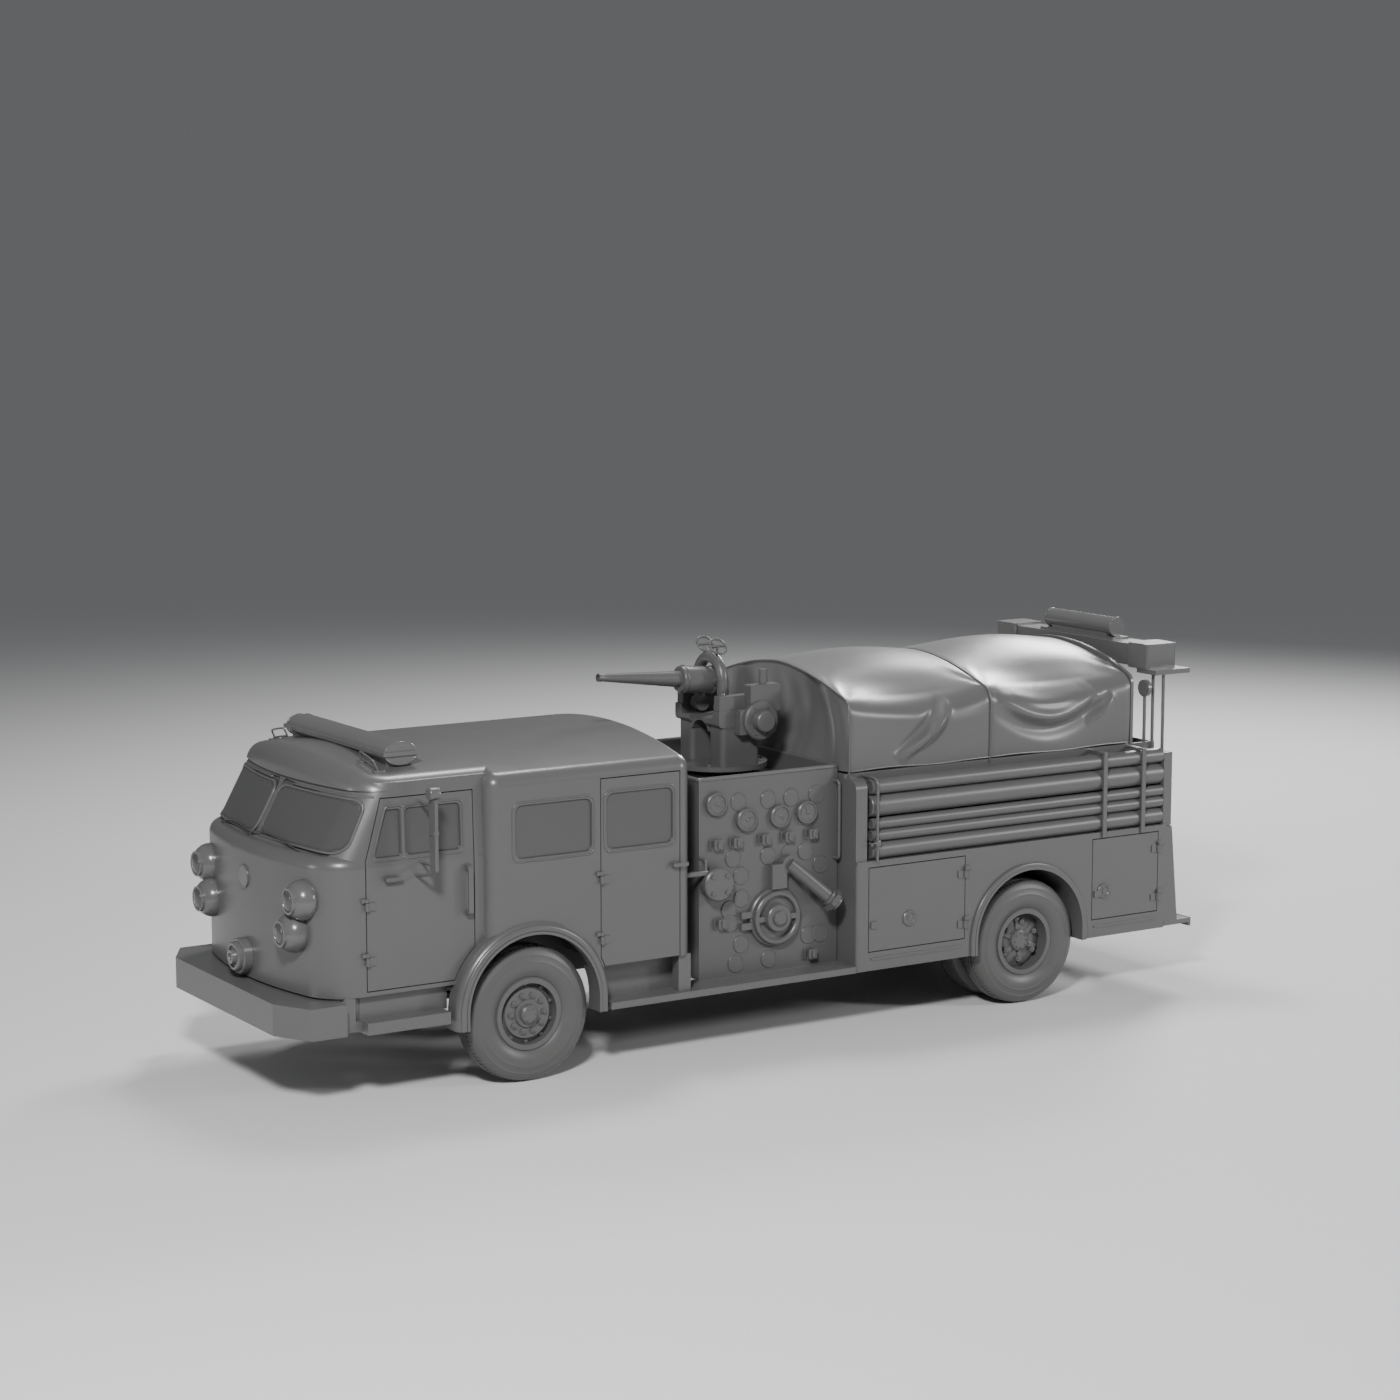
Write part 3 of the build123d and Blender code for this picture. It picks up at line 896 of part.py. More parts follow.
# Barrel: bored taper and sleeve on a crosswise water loop that swings on its two pivots
BORE_R = 24.0
BARREL_UP = 208.0
SLEEVE_R, SLEEVE_L = 110.0, 360.0
TAPER_L = 760.0
tilt = Pos(TRUNNION_X, 0, TRUNNION_Z) * Rot(0, -GUN_TILT, 0)
throat_x, tip_x = SLEEVE_L - 20, SLEEVE_L - 20 + TAPER_L
nozzle = outline((-90, 0), (-90, 92), (-10, 92), (-4, SLEEVE_R - 6), (4, SLEEVE_R),
                 (SLEEVE_L - 40, SLEEVE_R), (SLEEVE_L - 26, SLEEVE_R - 8), (throat_x, 68), (tip_x - 40, 31),
                 (tip_x - 34, 33), (tip_x, 33), (tip_x, BORE_R), (SLEEVE_L + 30, BORE_R), (SLEEVE_L + 30, 0))
gun = tilt * Pos(0, 0, BARREL_UP) * revolve(nozzle, Axis.X)
LOOP_X = TRUNNION_X + 10
BEND_Z = TRUNNION_Z + BARREL_UP + 10
ring = Pos(LOOP_X, 0, BEND_Z) * Rot(0, 90, 0) * Torus(LOOP_Y, LOOP_R)
gun += ring & zone(PUMP_X0, PUMP_X1, BEND_Z, BEND_Z + 2 * LOOP_Y)
gun += disc_y(LOOP_X, TRUNNION_Z + BARREL_UP, LOOP_R - 6, -LOOP_Y, LOOP_Y)
for s in (-1, 1):
    gun += rod((TRUNNION_X, s * LOOP_Y, TRUNNION_Z), (LOOP_X, s * LOOP_Y, BEND_Z), LOOP_R)
    inner, middle, outer = LOOP_Y - LOOP_R, LOOP_Y + LOOP_R, CHEEK_Y1 - 26
    gun += disc_y(TRUNNION_X, TRUNNION_Z, BOSS_R, *sorted((s * inner, s * middle)))
    gun += disc_y(TRUNNION_X, TRUNNION_Z, PIVOT_R, *sorted((s * LOOP_Y, s * outer)))
    hand_z = BEND_Z + LOOP_Y + 150
    gun += rod((LOOP_X, s * 85, BEND_Z + 155), (LOOP_X - 10, s * 95, hand_z), 12)
    gun += Pos(LOOP_X - 10, s * 95, hand_z) * (Torus(74, 10) + Box(140, 18, 12))
keep("gun_barrel", gun)

os.makedirs("parts", exist_ok=True)
for name, solids in PARTS.items():
    pieces = [p for s in solids for p in s.solids()]
    export_step(pieces[0] if len(pieces) == 1 else Compound(children=pieces), f"parts/{name}.step")
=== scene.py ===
import json
import math

import bpy
import numpy as np
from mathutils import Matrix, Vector


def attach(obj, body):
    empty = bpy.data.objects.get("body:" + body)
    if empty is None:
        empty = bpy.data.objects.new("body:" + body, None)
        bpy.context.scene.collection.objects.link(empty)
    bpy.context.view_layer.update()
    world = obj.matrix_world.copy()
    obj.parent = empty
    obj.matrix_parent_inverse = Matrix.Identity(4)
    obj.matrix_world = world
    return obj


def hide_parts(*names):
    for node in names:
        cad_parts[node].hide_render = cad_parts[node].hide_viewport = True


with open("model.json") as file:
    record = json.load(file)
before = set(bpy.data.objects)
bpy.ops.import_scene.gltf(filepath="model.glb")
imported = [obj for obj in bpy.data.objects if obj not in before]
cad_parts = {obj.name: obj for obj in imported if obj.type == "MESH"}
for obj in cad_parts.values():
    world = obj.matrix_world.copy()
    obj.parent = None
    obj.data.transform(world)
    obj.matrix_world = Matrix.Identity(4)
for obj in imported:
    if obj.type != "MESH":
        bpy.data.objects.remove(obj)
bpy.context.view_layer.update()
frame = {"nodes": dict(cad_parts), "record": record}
nodes = frame["nodes"]
bodyOfNode = {node: body for body, held in frame["record"]["behaviour"]["bodies"].items() for node in held}
slotOfNode = {item["node"]: item["material_slot"] for item in frame["record"]["subparts"]}
print("frame loaded:", len(nodes), "nodes")


# picking and finishing, used by every piece

def setMode(mode):
    bpy.ops.object.mode_set(mode=mode)


def pickNothing():
    if bpy.context.object and bpy.context.object.mode != "OBJECT":
        setMode("OBJECT")
    bpy.ops.object.select_all(action="DESELECT")


def pickOnly(piece):
    pickNothing()
    piece.select_set(True)
    bpy.context.view_layer.objects.active = piece


def pickFaces(piece, wanted):      # leaves the piece in edit mode with those faces picked
    if piece.mode != "OBJECT":
        setMode("OBJECT")
    mesh = piece.data
    mesh.vertices.foreach_set("select", [False] * len(mesh.vertices))
    mesh.edges.foreach_set("select", [False] * len(mesh.edges))
    mesh.polygons.foreach_set("select", [bool(wanted(f.center, f.normal)) for f in mesh.polygons])
    bpy.context.tool_settings.mesh_select_mode = (False, False, True)
    setMode("EDIT")


def editAll(operation, **settings):      # one edit on the whole of the picked piece
    setMode("EDIT")
    bpy.ops.mesh.select_all(action="SELECT")
    operation(**settings)
    setMode("OBJECT")


def applyModifier(piece, kind, **settings):
    modifier = piece.modifiers.new(kind.lower(), kind)
    for key, value in settings.items():
        setattr(modifier, key, value)
    bpy.ops.object.modifier_apply(modifier=modifier.name)


def finishPiece(piece, name, body, slotName, smoothAngle=35, material=None):
    pickOnly(piece)
    bpy.ops.object.transform_apply(location=True, rotation=True, scale=True)
    piece.name = piece.data.name = name
    piece.data.materials.clear()
    piece.data.materials.append(material or finishes[slotName])
    bpy.ops.object.shade_smooth_by_angle(angle=math.radians(smoothAngle))
    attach(piece, body)
    return piece


# finishes: shared effects first

def newGroup(name, inputs, outputs):      # a default of None makes a place, four numbers a color, one a float
    group = bpy.data.node_groups.new(name, "ShaderNodeTree")
    for label, value in inputs.items():
        kind = "Vector" if value is None else "Color" if isinstance(value, tuple) else "Float"
        socket = group.interface.new_socket(name=label, in_out="INPUT", socket_type="NodeSocket" + kind)
        if value is not None:
            socket.default_value = value
    for label in outputs:
        kind = "Color" if label == "Color" else "Float"
        group.interface.new_socket(name=label, in_out="OUTPUT", socket_type="NodeSocket" + kind)
    return group, group.nodes.new("NodeGroupInput").outputs, group.nodes.new("NodeGroupOutput").inputs


def addNode(tree, kind, settings=None, *values, **named):      # values fill inputs in order, None skips one
    node = tree.nodes.new(kind)
    for key, value in (settings or {}).items():
        setattr(node, key, value)
    byName = [(node.inputs[label], source) for label, source in named.items()]
    for socket, source in [*zip(node.inputs, values), *byName]:
        if isinstance(source, bpy.types.NodeSocket):
            tree.links.new(source, socket)
        elif source is not None:
            socket.default_value = source
    return node.outputs


def addMath(tree, operation, *values):
    return addNode(tree, "ShaderNodeMath", {"operation": operation}, *values)[0]


def makeMottle():      # slow tone drift over a painted or moulded face
    inputs = {"Place": None, "Tone": (0.3, 0.3, 0.3, 1), "Scale": 3.0, "Amount": 0.1, "Rough": 0.45}
    group, given, out = newGroup("toneDrift", inputs, ("Color", "Roughness"))
    cloud = addNode(group, "ShaderNodeTexNoise", Vector=given["Place"], Scale=given["Scale"], Detail=5.0,
                    Roughness=0.6)
    swing = addMath(group, "MULTIPLY", addMath(group, "SUBTRACT", cloud["Fac"], 0.5), given["Amount"])
    lift = addMath(group, "ADD", swing, 1.0)
    tone = addNode(group, "ShaderNodeVectorMath", {"operation": "SCALE"}, given["Tone"], Scale=lift)
    group.links.new(tone[0], out["Color"])
    group.links.new(addMath(group, "MULTIPLY_ADD", swing, 0.6, given["Rough"]), out["Roughness"])
    return group


def makeDust():      # pale dust on faces that look up, and low down near the road
    inputs = {"Place": None, "Color": (0.3, 0.3, 0.3, 1), "Dust": (0.4, 0.4, 0.39, 1), "Amount": 0.3}
    group, given, out = newGroup("settledDust", inputs, ("Color", "Mask"))
    normal = addNode(group, "ShaderNodeNewGeometry")["Normal"]
    facing = addNode(group, "ShaderNodeSeparateXYZ", None, normal)["Z"]
    upward = addNode(group, "ShaderNodeMapRange", None, facing, 0.35, 1.0, 0.0, 1.0)[0]
    height = addNode(group, "ShaderNodeSeparateXYZ", None, given["Place"])["Z"]
    low = addNode(group, "ShaderNodeMapRange", None, height, 1.1, 0.1, 0.0, 0.8)[0]
    both = addMath(group, "MAXIMUM", upward, low)
    cloud = addNode(group, "ShaderNodeTexNoise", Vector=given["Place"], Scale=9.0, Detail=6.0, Roughness=0.65)
    broken = addNode(group, "ShaderNodeMapRange", None, cloud["Fac"], 0.35, 0.75, 0.0, 1.0)[0]
    mask = addMath(group, "MULTIPLY", addMath(group, "MULTIPLY", both, broken), given["Amount"])
    mix = addNode(group, "ShaderNodeMix", {"data_type": "RGBA"}, mask, *[None] * 5, given["Color"],
                  given["Dust"])
    group.links.new(mix[2], out["Color"])
    group.links.new(mask, out["Mask"])
    return group


def makeGrain():      # fine surface grain for a bump
    group, given, out = newGroup("fineGrain", {"Place": None, "Scale": 300.0, "Coarse": 0.3}, ("Height",))
    fine = addNode(group, "ShaderNodeTexNoise", Vector=given["Place"], Scale=given["Scale"], Detail=3.0)
    less = addMath(group, "MULTIPLY", given["Scale"], 0.07)
    broad = addNode(group, "ShaderNodeTexNoise", Vector=given["Place"], Scale=less, Detail=2.0)
    mix = addNode(group, "ShaderNodeMix", {"data_type": "FLOAT"}, given["Coarse"], None, fine["Fac"],
                  broad["Fac"])
    group.links.new(mix[0], out["Height"])
    return group


def makeWeave():      # crossed threads of a woven cloth
    group, given, out = newGroup("clothWeave", {"Place": None, "Threads": 260.0}, ("Height", "Shade"))
    across, along = (addNode(group, "ShaderNodeTexWave", {"bands_direction": way}, Vector=given["Place"],
                             Scale=given["Threads"], Distortion=0.6)["Fac"] for way in "XZ")
    over = addMath(group, "MAXIMUM", across, along)
    group.links.new(over, out["Height"])
    group.links.new(addNode(group, "ShaderNodeMapRange", None, over, 0.0, 1.0, 0.93, 1.03)[0], out["Shade"])
    return group


toneDrift, settledDust, fineGrain, clothWeave = makeMottle(), makeDust(), makeGrain(), makeWeave()


def useGroup(tree, group, **named):
    return addNode(tree, "ShaderNodeGroup", {"node_tree": group}, **named)


def makeFinish(name, tone, rough, drift=0.10, driftScale=2.5, dust=0.25, grainScale=420.0, grainDepth=0.03,
               coarse=0.3, coat=0.0, threads=None, transmission=0.0, sheen=0.0):
    material = bpy.data.materials.new(name)
    material.use_nodes = True
    tree = material.node_tree
    shader = tree.nodes["Principled BSDF"].inputs
    place = addNode(tree, "ShaderNodeTexCoord")["Object"]
    base = useGroup(tree, toneDrift, Place=place, Tone=(tone, tone, tone * 0.99, 1), Scale=driftScale,
                    Amount=drift, Rough=rough)
    pale = min(1.0, tone * 1.25)
    color = useGroup(tree, settledDust, Place=place, Color=base["Color"], Dust=(pale, pale, pale * 0.97, 1),
                     Amount=dust)["Color"]
    if threads:
        weave = useGroup(tree, clothWeave, Place=place, Threads=threads)
        color = addNode(tree, "ShaderNodeVectorMath", {"operation": "SCALE"}, color, Scale=weave["Shade"])[0]
        height = weave["Height"]
    else:
        height = useGroup(tree, fineGrain, Place=place, Scale=grainScale, Coarse=coarse)["Height"]
    bump = addNode(tree, "ShaderNodeBump", Strength=grainDepth, Distance=0.004, Height=height)
    sources = {"Base Color": color, "Roughness": base["Roughness"], "Normal": bump["Normal"]}
    for label, source in sources.items():
        tree.links.new(source, shader[label])
    for label, value in {"Coat Weight": coat, "Coat Roughness": 0.25, "Transmission Weight": transmission,
                         "Sheen Weight": sheen}.items():
        shader[label].default_value = value
    material.diffuse_color = (tone, tone, tone, 1)
    return material


finishes = {
    "body_paint": makeFinish("bodyPaint", 0.098, 0.33, coat=0.15),
    "frame_paint": makeFinish("framePaint", 0.068, 0.48, drift=0.18, dust=0.45, grainDepth=0.06),
    "cast_metal": makeFinish("castMetal", 0.094, 0.36, drift=0.16, grainScale=260, grainDepth=0.12,
                             coarse=0.2),
    "window_glass": makeFinish("windowGlass", 0.082, 0.16, drift=0.05, dust=0.10, grainDepth=0.0,
                               transmission=0.12),
    "lamp_shell": makeFinish("lampShell", 0.112, 0.22, drift=0.06, grainDepth=0.01, coat=0.3),
    "plain_metal": makeFinish("plainMetal", 0.106, 0.30),
    "panel_sheet": makeFinish("panelSheet", 0.092, 0.38, grainScale=500, grainDepth=0.04),
    "hose_rubber": makeFinish("hoseRubber", 0.095, 0.40, drift=0.12, driftScale=4, grainDepth=0.06),
    "canvas": makeFinish("coverCanvas", 0.098, 0.34, drift=0.12, driftScale=1.6, grainDepth=0.05, threads=420,
                         sheen=0.15),
    "seat_cover": makeFinish("seatHide", 0.072, 0.48, drift=0.2, driftScale=5, grainScale=900,
                             grainDepth=0.2),
    "dash_plastic": makeFinish("dashPlastic", 0.064, 0.50, grainScale=1200, grainDepth=0.15),
    "tank_plastic": makeFinish("tankPlastic", 0.088, 0.46, drift=0.15, grainDepth=0.05),
    "wheel_paint": makeFinish("wheelPaint", 0.096, 0.33, drift=0.14, dust=0.4, grainDepth=0.04),
    "tyre_rubber": makeFinish("tyreRubber", 0.086, 0.42, drift=0.14, driftScale=5, dust=0.5, grainScale=700,
                              grainDepth=0.10),
}
sealRubber = makeFinish("sealRubber", 0.05, 0.42, grainScale=800, grainDepth=0.06)

for name, item in nodes.items():
    item.data.materials.clear()
    item.data.materials.append(finishes[slotOfNode[name]])
print("finishes placed on", len(nodes), "nodes")


# small makers that several pieces share

def turnPiece(profile, steps):      # (radius, height) points turned about the piece's own Z
    tiny = 0.0002
    pickNothing()
    bpy.context.tool_settings.mesh_select_mode = (True, False, False)
    bpy.ops.mesh.primitive_circle_add(vertices=steps, radius=max(profile[0][0], tiny))
    piece = bpy.context.object
    setMode("EDIT")
    bpy.ops.mesh.select_all(action="SELECT")
    bpy.ops.transform.translate(value=(0, 0, profile[0][1]))
    for (radius, height), (nextRadius, nextHeight) in zip(profile, profile[1:]):
        bpy.ops.mesh.extrude_region_move(TRANSFORM_OT_translate={"value": (0, 0, nextHeight - height)})
        grow = max(nextRadius, tiny) / max(radius, tiny)
        bpy.ops.transform.resize(value=(grow, grow, 1))
    bpy.ops.mesh.select_all(action="SELECT")
    bpy.ops.mesh.remove_doubles(threshold=0.0005)
    bpy.ops.mesh.normals_make_consistent(inside=False)
    setMode("OBJECT")
    return piece


def copyAt(piece, place, turn=(0, 0, 0), grow=(1, 1, 1)):
    twin = piece.copy()
    twin.data = piece.data.copy()
    twin.location, twin.rotation_euler, twin.scale = place, turn, grow
    bpy.context.collection.objects.link(twin)
    return twin


def copyNode(node, merge=0.00005):      # a copy of a solid, its loose triangles merged
    twin = copyAt(nodes[node], (0, 0, 0))
    pickOnly(twin)
    bpy.ops.mesh.customdata_custom_splitnormals_clear()
    editAll(bpy.ops.mesh.remove_doubles, threshold=merge)
    return twin


def joinPieces(pieces):
    pickNothing()
    for piece in pieces:
        piece.select_set(True)
    bpy.context.view_layer.objects.active = pieces[0]
    bpy.ops.object.transform_apply(location=True, rotation=True, scale=True)
    if len(pieces) > 1:
        bpy.ops.object.join()
    return bpy.context.object


def copyToMany(piece, places):      # each place is (location, turn) or (location, turn, scale)
    joined = joinPieces([copyAt(piece, *place) for place in places])
    bpy.data.objects.remove(piece)
    return joined


def makeTube(paths, radius, roundness=3, smooth=True, closed=False):
    pickNothing()
    curve = bpy.data.curves.new("tube", "CURVE")
    curve.dimensions = "3D"
    for points in paths:
        spline = curve.splines.new("NURBS" if smooth else "POLY")
        spline.points.add(len(points) - 1)
        for point, place in zip(spline.points, points):
            point.co = (*place, 1)
        spline.use_cyclic_u = closed
        if smooth:
            spline.order_u = 3
            spline.use_endpoint_u = not closed
            spline.resolution_u = 6
    curve.bevel_depth, curve.bevel_resolution, curve.use_fill_caps = radius, roundness, True
    tube = bpy.data.objects.new("tube", curve)
    bpy.context.collection.objects.link(tube)
    pickOnly(tube)
    bpy.ops.object.convert(target="MESH")
    return bpy.context.object


def makeBlock(low, high, edge, segments=2):      # box with rounded edges
    pickNothing()
    middle = [(a + b) / 2 for a, b in zip(low, high)]
    bpy.ops.mesh.primitive_cube_add(size=1, location=middle, scale=[b - a for a, b in zip(low, high)])
    piece = bpy.context.object
    bpy.ops.object.transform_apply(location=True, rotation=True, scale=True)
    editAll(bpy.ops.mesh.bevel, offset=edge, segments=segments, affect="EDGES")
    return piece


def makeHandedBlock(hand, low, high, edge):      # low and high are given for the left side
    near, far = sorted((hand * low[1], hand * high[1]))
    return makeBlock((low[0], near, low[2]), (high[0], far, high[2]), edge)


def makeBolt(radius, height):      # six-sided head: chamfered top with the stud end standing out of it
    pickNothing()
    bpy.ops.mesh.primitive_cylinder_add(vertices=6, radius=radius, depth=height, location=(0, 0, height / 2))
    bolt = bpy.context.object
    bpy.ops.object.transform_apply(location=True)
    pickFaces(bolt, lambda center, normal: normal.z > 0.9)
    bpy.ops.mesh.bevel(offset=radius * 0.14, segments=1)
    pickFaces(bolt, lambda center, normal: normal.z > 0.9)
    bpy.ops.mesh.inset(thickness=radius * 0.42)
    bpy.ops.mesh.extrude_region_move(TRANSFORM_OT_translate={"value": (0, 0, height * 0.5)})
    setMode("OBJECT")
    return bolt


def makeGrid(columns, rows):
    pickNothing()
    bpy.ops.mesh.primitive_grid_add(x_subdivisions=columns, y_subdivisions=rows, size=2)
    return bpy.context.object


def readPoints(piece, what="co"):
    flat = np.empty(len(piece.data.vertices) * 3)
    piece.data.vertices.foreach_get(what, flat)
    return flat.reshape(-1, 3)


def placePoints(piece, points):
    piece.data.vertices.foreach_set("co", points.ravel())
    piece.data.update()


def ringAngles(count, first=0.0):      # first is the first place's share of the spacing
    return [2 * math.pi * (number + first) / count for number in range(count)]


def castOn(node, start, way):      # where a ray first meets a node
    return nodes[node].ray_cast(Vector(start), Vector(way))[1]


lookLeft, lookRight = (-math.pi / 2, 0, 0), (math.pi / 2, 0, 0)      # a turned piece's Z put along +Y, -Y
lookAhead, lookBack = (0, math.pi / 2, 0), (0, -math.pi / 2, 0)
sides = {"left": (1, lookLeft), "right": (-1, lookRight)}


# hose bed cover: one draped sheet over three hoops, with a front curtain and a rear panel

cover = {
    "hoops": (-0.766, -2.185, -3.676), "half": 1.03, "ridge": 2.885, "hem": 2.098,
    "tight": (0.930, 0.190, 0.115), "soft": (0.845, 0.165, 0.215),      # roof edge, its drop, corner
    "lift": (0.060, 0.072), "liftWide": 0.52, "valley": 0.050, "valleyAt": (0.76, 0.17),
    "sag": 0.055, "sagIn": 0.022, "wave": 0.016, "waveStart": (0.5, 2.1), "rightFolds": (0.11, 0.07),
    "ray": 0.006, "rayHeight": 2.62, "rayReach": 0.22, "hemWave": 0.010, "pinch": 0.007, "pinchWide": 0.022,
    # places on the half outline, ridge (0) to hem (1), each with its width or length
    "valleyEnd": (0.74, 0.12), "shoulder": (0.66, 0.09), "wall": (0.66, 0.12), "foldsFrom": (0.58, 0.10),
    "rayAt": (0.56, 0.14), "hemFrom": (0.9, 0.1),
    "along": 170, "across": 150, "cloth": 0.004, "hemRadius": 0.008,
    "bandRadius": 0.0085, "bandOff": (0.007, 0.006), "bandFoot": 2.05, "bandPoints": 90,
}
# end cloths: place along the bed, belly, ripple and how far the foot swings
coverEnds = {"coverFrontCurtain": (-0.770, -0.105, 0.020, 0.045),
             "coverRearPanel": (-3.674, 0.030, 0.008, 0.0)}
# folds on the left wall: three points (x, z) of the crease, how far it stands out, its slopes and its hollow
coverFolds = [
    {"line": ((-1.79, 2.60), (-1.62, 2.36), (-1.27, 2.13)), "out": 0.062, "wide": (0.034, 0.060),
     "hollow": 0.040, "gap": 0.066},
    {"line": ((-1.72, 2.52), (-1.50, 2.30), (-1.22, 2.17)), "out": 0.040, "wide": (0.045, 0.022),
     "hollow": 0.022, "gap": -0.050},
    {"line": ((-2.27, 2.60), (-2.80, 2.20), (-3.32, 2.58)), "out": 0.085, "wide": (0.110, 0.046),
     "hollow": 0.034, "gap": 0.110},
    {"line": ((-2.42, 2.62), (-2.80, 2.42), (-3.18, 2.60)), "out": 0.022, "wide": (0.050, 0.036),
     "hollow": 0.010, "gap": 0.070},
    {"line": ((-3.50, 2.52), (-3.40, 2.40), (-3.22, 2.31)), "out": 0.040, "wide": (0.030, 0.022),
     "hollow": 0.026, "gap": 0.042},
]


def bend(t, a, b, c):      # three-point bend
    return (1 - t) ** 2 * a + 2 * t * (1 - t) * b + t ** 2 * c


def hump(value, middle, wide):
    return np.exp(-((value - middle) / wide) ** 2)


def ramp(value, start, length):
    return np.clip((value - start) / length, 0, 1)


def foldHeight(x, z, fold, shift):
    t = np.linspace(0, 1, 240)
    points = bend(t[:, None], *np.array(fold["line"])) + np.array([shift, 0])
    gapX, gapZ = x[:, None] - points[:, 0], z[:, None] - points[:, 1]
    near = np.argmin(gapX ** 2 + gapZ ** 2, axis=1)
    step = np.gradient(points, axis=0)[near]
    rows = np.arange(len(x))
    dx, dz = gapX[rows, near], gapZ[rows, near]
    side = (step[:, 0] * dz - step[:, 1] * dx) / np.hypot(step[:, 0], step[:, 1])
    fade = np.sin(np.pi * t[near]) ** 0.6
    ends = np.exp(-np.maximum(np.hypot(dx, dz) - np.abs(side), 0) / 0.06)
    wide = np.where(side < 0, *fold["wide"])      # one slope of a fold is longer than the other
    hollow = fold["hollow"] * hump(side, fold["gap"], min(fold["wide"]) * 1.3)
    return (fold["out"] * hump(side, 0, wide) - hollow) * fade * ends


def hoopLine(s, shape):      # half of the outline, ridge (0) to hem (1), as (y, z)
    roof, turn = 0.60, 0.14      # shares of the line
    roofEdge, drop, corner = shape
    half, ridge, edgeZ = cover["half"], cover["ridge"], cover["ridge"] - drop
    wallZ = edgeZ - corner
    y, z = np.empty_like(s), np.empty_like(s)
    top, wall = s < roof, s >= roof + turn
    y[top] = roofEdge * s[top] / roof
    z[top] = ridge - drop * (y[top] / roofEdge) ** 1.75
    bent = ~top & ~wall
    t = (s[bent] - roof) / turn
    y[bent] = bend(t, roofEdge, half - 0.010, half)
    z[bent] = bend(t, edgeZ, edgeZ - 0.30 * corner, wallZ)
    y[wall] = half
    z[wall] = wallZ + (s[wall] - roof - turn) / (1 - roof - turn) * (cover["hem"] - wallZ)
    return y, z


def drapeCover(u, v):      # u runs from the front hoop to the rear, v from the right hem (-1) to the left (1)
    front, middle, rear = cover["hoops"]
    x = front + u * (rear - front)
    s, hand = np.abs(v), np.sign(v)
    inFront = x > middle
    bay = np.where(inFront, (x - middle) / (front - middle), (x - rear) / (middle - rear))
    swell = np.sin(np.pi * bay)
    tight, soft = np.array(hoopLine(s, cover["tight"])), np.array(hoopLine(s, cover["soft"]))
    y, z = tight + (soft - tight) * np.clip(swell, 0, 1) ** 0.6      # tight at the hoops, slack between
    z = z + np.where(inFront, *cover["lift"]) * swell ** 1.1 * hump(y, 0, cover["liftWide"])
    end, fade = cover["valleyEnd"]
    z = z - cover["valley"] * swell * hump(y, *cover["valleyAt"]) * np.clip((end - s) / fade, 0, 1)
    shoulder = hump(s, *cover["shoulder"])
    z = z - cover["sag"] * swell * shoulder
    y = y - cover["sagIn"] * swell * shoulder
    wall = ramp(s, *cover["wall"])
    wave = np.sin(2 * np.pi * bay + np.where(inFront, *cover["waveStart"])) * np.sin(np.pi * (s - 0.6) / 0.42)
    y = y + wall * cover["wave"] * wave
    first, step = cover["rightFolds"]      # the right wall has the left's folds, each shifted along the bed
    for number, fold in enumerate(coverFolds):
        for side, shift in ((1, 0.0), (-1, first - step * number)):
            mine = (hand == side) & (s > 0.55)
            if mine.any():
                y[mine] += foldHeight(x[mine], z[mine], fold, shift) * ramp(s[mine], *cover["foldsFrom"])
    # radiating creases from the hoop corners, and the tuck under each hoop's band
    for hoop in cover["hoops"]:
        away = np.abs(x - hoop)
        ray = np.sin((z - cover["rayHeight"]) * 34 / (0.35 + 2.2 * away) + 1.3 * hoop)
        ray = ray * np.exp(-away / cover["rayReach"]) * (1 - np.exp(-away / 0.03))
        z = z + cover["ray"] * ray * hump(s, *cover["rayAt"])
        tuck = cover["pinch"] * hump(away, 0, cover["pinchWide"])
        y, z = y - tuck * wall, z - tuck * (1 - wall)
    z = z + ramp(s, *cover["hemFrom"]) * (cover["hemWave"] * np.sin(5.0 * x + 0.6) * swell)
    return np.stack([x, hand * y, z], axis=1)


def hangCurtain(u, v, x0, deep, folds, foot):      # u across the bed, v from the hoop down to the hem
    across = np.clip(np.abs(u), 0, 1)
    y = across * cover["half"]
    top = np.interp(y, *hoopLine(np.linspace(0, 0.99, 400), cover["tight"])) - cover["pinch"]
    z = top + v * (cover["hem"] - top)
    belly = np.sin(np.pi * np.clip(v, 0, 1)) ** 0.8 * (1 - across ** 5)
    inner = 1 - across ** 6
    ripple = folds * np.sin(17 * u + 1.5 * np.sin(5 * u)) * v ** 1.3 * inner
    tuck = hump(across, 0.66 + 0.16 * v, 0.085) - 0.7 * hump(across, 0.47 + 0.08 * v, 0.10)
    x = x0 + deep * belly + ripple + foot * v ** 3 * inner + 2.2 * folds * tuck * np.sin(np.pi * v ** 0.7)
    return np.stack([x, np.sign(u) * y, z], axis=1)


def makeSheet(name, columns, rows, place):      # a grid of cloth, each point where place puts it
    sheet = makeGrid(columns, rows)
    flat = readPoints(sheet)
    placePoints(sheet, place(flat[:, 0], flat[:, 1]))
    area = sum(face.area for face in sheet.data.polygons)
    editAll(bpy.ops.mesh.normals_make_consistent, inside=False)
    applyModifier(sheet, "SOLIDIFY", thickness=cover["cloth"], offset=0)
    finishPiece(sheet, name, "chassis", "canvas", 60)
    return sheet, area


